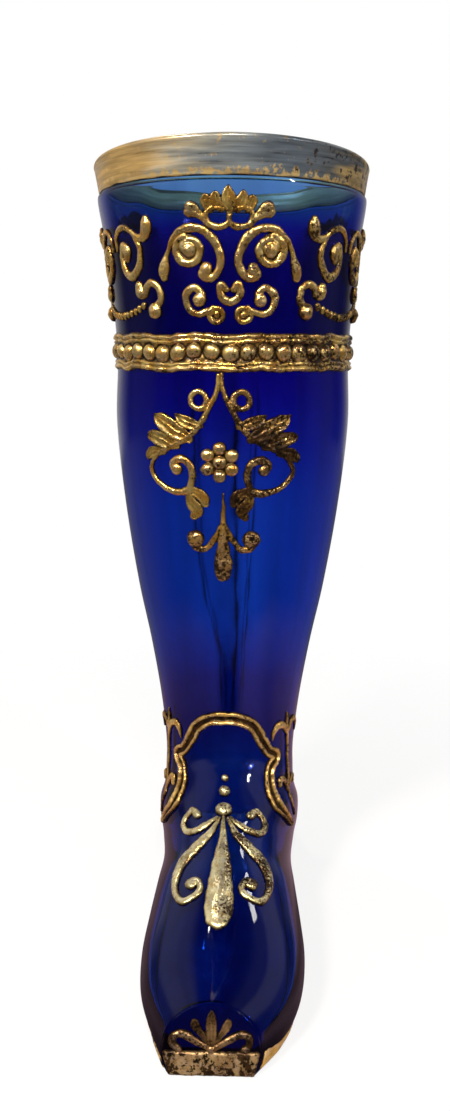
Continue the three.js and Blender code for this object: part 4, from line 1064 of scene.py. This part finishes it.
EDGE_ROWS, TAPER_FROM, EDGE_BACK, EDGE_LOWER = 90, 20.4, 0.93, 0.965
EDGE_UPPER = {"left": 0.88, "right": 0.76}
orange_gilt = gilt_finish("orange_gilt", (0.86, 0.48, 0.08), (0.52, 0.24, 0.04), 0.41, 0.6,
                          side_specks=(-0.02, 0.02, -0.06), metal=0.4)
EDGE_SHARES = [
    (0, -0.08), (0.03, 0.2), (0.2, 0.4), (0.5, 0.45), (0.8, 0.4), (0.97, 0.2), (1, -0.08),
    (0.5, -0.1),
]
for half, side in SIDE.items():
    ks = np.linspace(HEEL_TREAD + 0.5, TOE - 0.15, EDGE_ROWS)
    ragged = 0.012 * wave(ks * 8, 0 * ks, 6.0, 900 + side)
    ragged = ragged + 0.006 * wave(ks * 8, 0 * ks, 1.7, 910 + side)
    taper = fade(ks, TAPER_FROM, TOE - TAPER_FROM) ** 0.7
    upper = SOLE_TURN * (mix(EDGE_BACK, EDGE_UPPER[half], taper) + ragged)
    lower = SOLE_TURN * np.full(EDGE_ROWS, EDGE_LOWER)
    rows = [lifted(ks, side * mix(upper, lower, share), lift) for share, lift in EDGE_SHARES]
    rows = np.stack(rows, 1)
    rows[..., 2] = np.maximum(rows[..., 2], OFF_FLOOR)
    points = np.vstack([rows.reshape(-1, 3), rows[0].mean(0)[None], rows[-1].mean(0)[None]])
    faces = grid_faces(EDGE_ROWS, len(EDGE_SHARES)) + end_faces(points, EDGE_ROWS, len(EDGE_SHARES))
    name, crest = "sole_edge_" + half, np.ones(len(points))
    edge = piece_of("gilding_" + name, points, faces, orange_gilt, {"crest": crest})
    seat(edge, name)

# Studio: a white sweep of floor and air, five soft windows, two of which light the gilding
# but not the glass, a shaded tent round the boot that only mirror rays see, and the camera
# at the height of the cuff.

FLOOR_HALF, FLOOR_DROP, AIR_LIGHT = 4.0, 0.0002, 0.35


def seen_in(tree):
    """Whether the eye sees this, straight, in a mirror or through the glass."""
    ray = node(tree, "LightPath").outputs
    seen = reckon("MAXIMUM", ray["Is Camera Ray"], ray["Is Glossy Ray"])
    return reckon("MAXIMUM", seen, ray["Is Transmission Ray"])


floor_mesh = bpy.data.meshes.new("floor")
floor_corners = [(FLOOR_HALF * x, FLOOR_HALF * y, 0)
                 for x, y in ((-1, -1), (1, -1), (1, 1), (-1, 1))]
floor_mesh.from_pydata(floor_corners, [], [(0, 1, 2, 3)])
floor = set_down("floor", floor_mesh)
floor.location.z = -FLOOR_DROP
floor.visible_glossy = False
material, tree = shader("white_floor")
coords, _ = places_in(tree)
far = node(tree, "VectorMath", {0: coords}, operation="LENGTH").outputs["Value"]
white = spread(far, 0.10, 0.30, 0.80, 1.0)
share = reckon("MULTIPLY", seen_in(tree), white)
matt = node(tree, "BsdfDiffuse", {"Color": (0.9, 0.9, 0.9, 1)})
glow = node(tree, "Emission", {"Color": (1, 1, 1, 1), "Strength": 1.0})
both = node(tree, "MixShader", {0: share, 1: matt.outputs[0], 2: glow.outputs[0]})
node(tree, "OutputMaterial", {"Surface": both.outputs[0]})
floor_mesh.materials.append(material)

world = bpy.data.worlds.new("air")
bpy.context.scene.world = world
world.use_nodes = True
tree = world.node_tree
tree.nodes.clear()
level = spread(seen_in(tree), low=AIR_LIGHT, high=1.0)
air = node(tree, "Background", {"Color": (1, 1, 1, 1), "Strength": level})
node(tree, "OutputWorld", {"Surface": air.outputs[0]})


def soft_window(name, at, aim, size, watts, colour):
    lamp = bpy.data.lights.new(name, "AREA")
    lamp.shape = "RECTANGLE"
    lamp.size, lamp.size_y = size
    lamp.energy = watts
    lamp.color = colour
    stand = set_down(name, lamp)
    stand.location = at
    stand.rotation_euler = (Vector(aim) - Vector(at)).to_track_quat("-Z", "Y").to_euler()
    stand.visible_camera = False
    return stand


WARM, PALE, COOL, SOFT = (1.0, 0.94, 0.86), (1.0, 0.96, 0.9), (1.0, 0.98, 0.95), (1.0, 0.97, 0.92)
key = soft_window("left_window", (-0.50, -0.66, 0.85), (0, 0, 0.15), (0.16, 0.22), 9.3, WARM)
soft_window("right_window", (0.67, -0.50, 0.65), (0, 0, 0.12), (0.035, 0.03), 1.7, PALE)
fill = soft_window("front_window", (0.06, -0.80, 0.88), (0, 0, 0.14), (0.20, 0.20), 5.2, WARM)
soft_window("back_window", (0.47, 0.37, 0.80), (0, -0.08, 0.03), (0.07, 0.10), 0.27, COOL)
soft_window("top_window", (-0.25, 0.33, 1.02), (0, -0.07, 0.04), (0.05, 0.09), 1.7, SOFT)
screened = bpy.data.collections.new("screened_glass")
screened.objects.link(blown_boot)
screened.collection_objects[0].light_linking.link_state = "EXCLUDE"
for stand in (key, fill):
    stand.light_linking.receiver_collection = screened

TENT_REACH, TENT_HEIGHT, TENT_SIDES, TENT_LIFT = 1.3, 1.3, 96, 0.0004
FLOOR_REACHES = (0.01, 0.05, 0.08, 0.1, 0.12, 0.14, 0.17, 0.2, 0.24, 0.28, 0.32, 0.36, 0.5, 0.7, 1)
WALL_HEIGHTS = (0.0, 0.12, 0.24, 0.36, 0.48, 0.6, 0.75, 0.9, 1.1)
ROOF_REACHES = (1.3, 1.1, 0.95, 0.8, 0.65, 0.5, 0.35, 0.2, 0.01)
PALE_CLOTH, BROWN_CLOTH = np.array([1.0, 0.97, 1.0]), np.array([0.28, 0.170, 0.215])


def eased(value, start, end):
    share = fade(value, start, end - start)
    return share * share * (3 - 2 * share)


tent_turns = even_turns(TENT_SIDES) - pi
floor_rows = [(reach, 0) for reach in FLOOR_REACHES]
wall_rows = [(TENT_REACH, z) for z in WALL_HEIGHTS]
roof_rows = [(reach, TENT_HEIGHT) for reach in ROOF_REACHES]
tent_rows = np.array(floor_rows + wall_rows + roof_rows)
reach, height = tent_rows[:, :1], tent_rows[:, 1:]
x, y = reach * np.sin(tent_turns), -reach * np.cos(tent_turns)
away = np.degrees(np.abs(tent_turns))[None, :]
z = np.broadcast_to(height + TENT_LIFT, x.shape)
on_left = (tent_turns < 0)[None, :]
behind_left = mix(0.03, 0.50, eased(away, 112, 150))
behind_right = mix(0.04, 0.45, eased(away, 128, 162))
low_wall = np.where(away < 62, 0.012, np.where(on_left, behind_left, behind_right))
low_wall = low_wall + 0.06 * eased(away, 70, 85) * (1 - eased(away, 105, 120))
high_wall = mix(0.03, 0.38, eased(away, 32, 58))
wall = mix(low_wall, high_wall, eased(z, 0.30, 0.55))
roof = mix(0.015, np.where(x < 0, 0.30, 0.115), eased(np.abs(x), 0.50, 0.90))
far_floor = mix(0.03, np.where(on_left, 0.16, 0.12), eased(away, 60, 110))
level = np.where(height >= TENT_HEIGHT, roof, np.where(reach >= TENT_REACH, wall, far_floor))
table = (1 - eased(reach, 0.14, 0.24)) * (height == 0) * np.ones_like(level)
beside = eased(np.abs(x), 0.02, 0.05) * (1 - eased(-y, 0.125, 0.17))
near = mix(0.15, 1.0, np.maximum(beside, eased(away, 65, 90)))
near_right = mix(mix(0.62, 1.5, eased(-y, 0.05, 0.12)), 1.3, eased(away, 50, 80))
near = near * np.where(on_left, 0.9, near_right)
colour = mix(level[..., None] * PALE_CLOTH, near[..., None] * BROWN_CLOTH, table[..., None])
tent_mesh = bpy.data.meshes.new("tent")
tent_points = np.stack([x, y, z], -1).reshape(-1, 3)
tent_mesh.from_pydata(tent_points.tolist(), [], grid_faces(len(tent_rows), TENT_SIDES))
glow = tent_mesh.attributes.new("glow", "FLOAT_COLOR", "POINT")
colour = np.append(colour.reshape(-1, 3), np.ones((len(tent_points), 1)), 1)
glow.data.foreach_set("color", colour.astype(np.float32).ravel())
material, tree = shader("tent_cloth")
cloth = node(tree, "Attribute", attribute_name="glow").outputs["Color"]
cloth = node(tree, "Emission", {"Color": cloth, "Strength": 1.0})
node(tree, "OutputMaterial", {"Surface": cloth.outputs[0]})
tent_mesh.materials.append(material)
tent = set_down("tent", tent_mesh)
for rays in ("camera", "transmission", "diffuse", "shadow"):
    setattr(tent, "visible_" + rays, False)

IMAGE_HEIGHT, FOCAL, HORIZON, SENSOR = 1111, 900.0, 345.0, 36.0
EYE_AWAY, EYE_HEIGHT, EYE_TURN, EYE_ROLL, AXIS_ASIDE = 0.351, 0.2147, 1.2, 0.45, 6.4
lens = bpy.data.cameras.new("eye")
lens.sensor_fit = "VERTICAL"
lens.sensor_height = SENSOR
lens.lens = SENSOR * FOCAL / IMAGE_HEIGHT
lens.shift_x = -AXIS_ASIDE / IMAGE_HEIGHT
lens.clip_start = 0.01
turn, pitch = radians(EYE_TURN), atan((IMAGE_HEIGHT / 2 - HORIZON) / FOCAL)
spot = Vector((EYE_AWAY * sin(turn), -EYE_AWAY * cos(turn), EYE_HEIGHT))
turned = Matrix.Rotation(turn, 4, "Z") @ Matrix.Rotation(pi / 2 - pitch, 4, "X")
rolled = Matrix.Rotation(radians(EYE_ROLL), 4, "Z")
eye = set_down("eye", lens)
eye.matrix_world = Matrix.Translation(spot) @ turned @ rolled
bpy.context.scene.camera = eye
bpy.context.scene.view_settings.view_transform = "Standard"
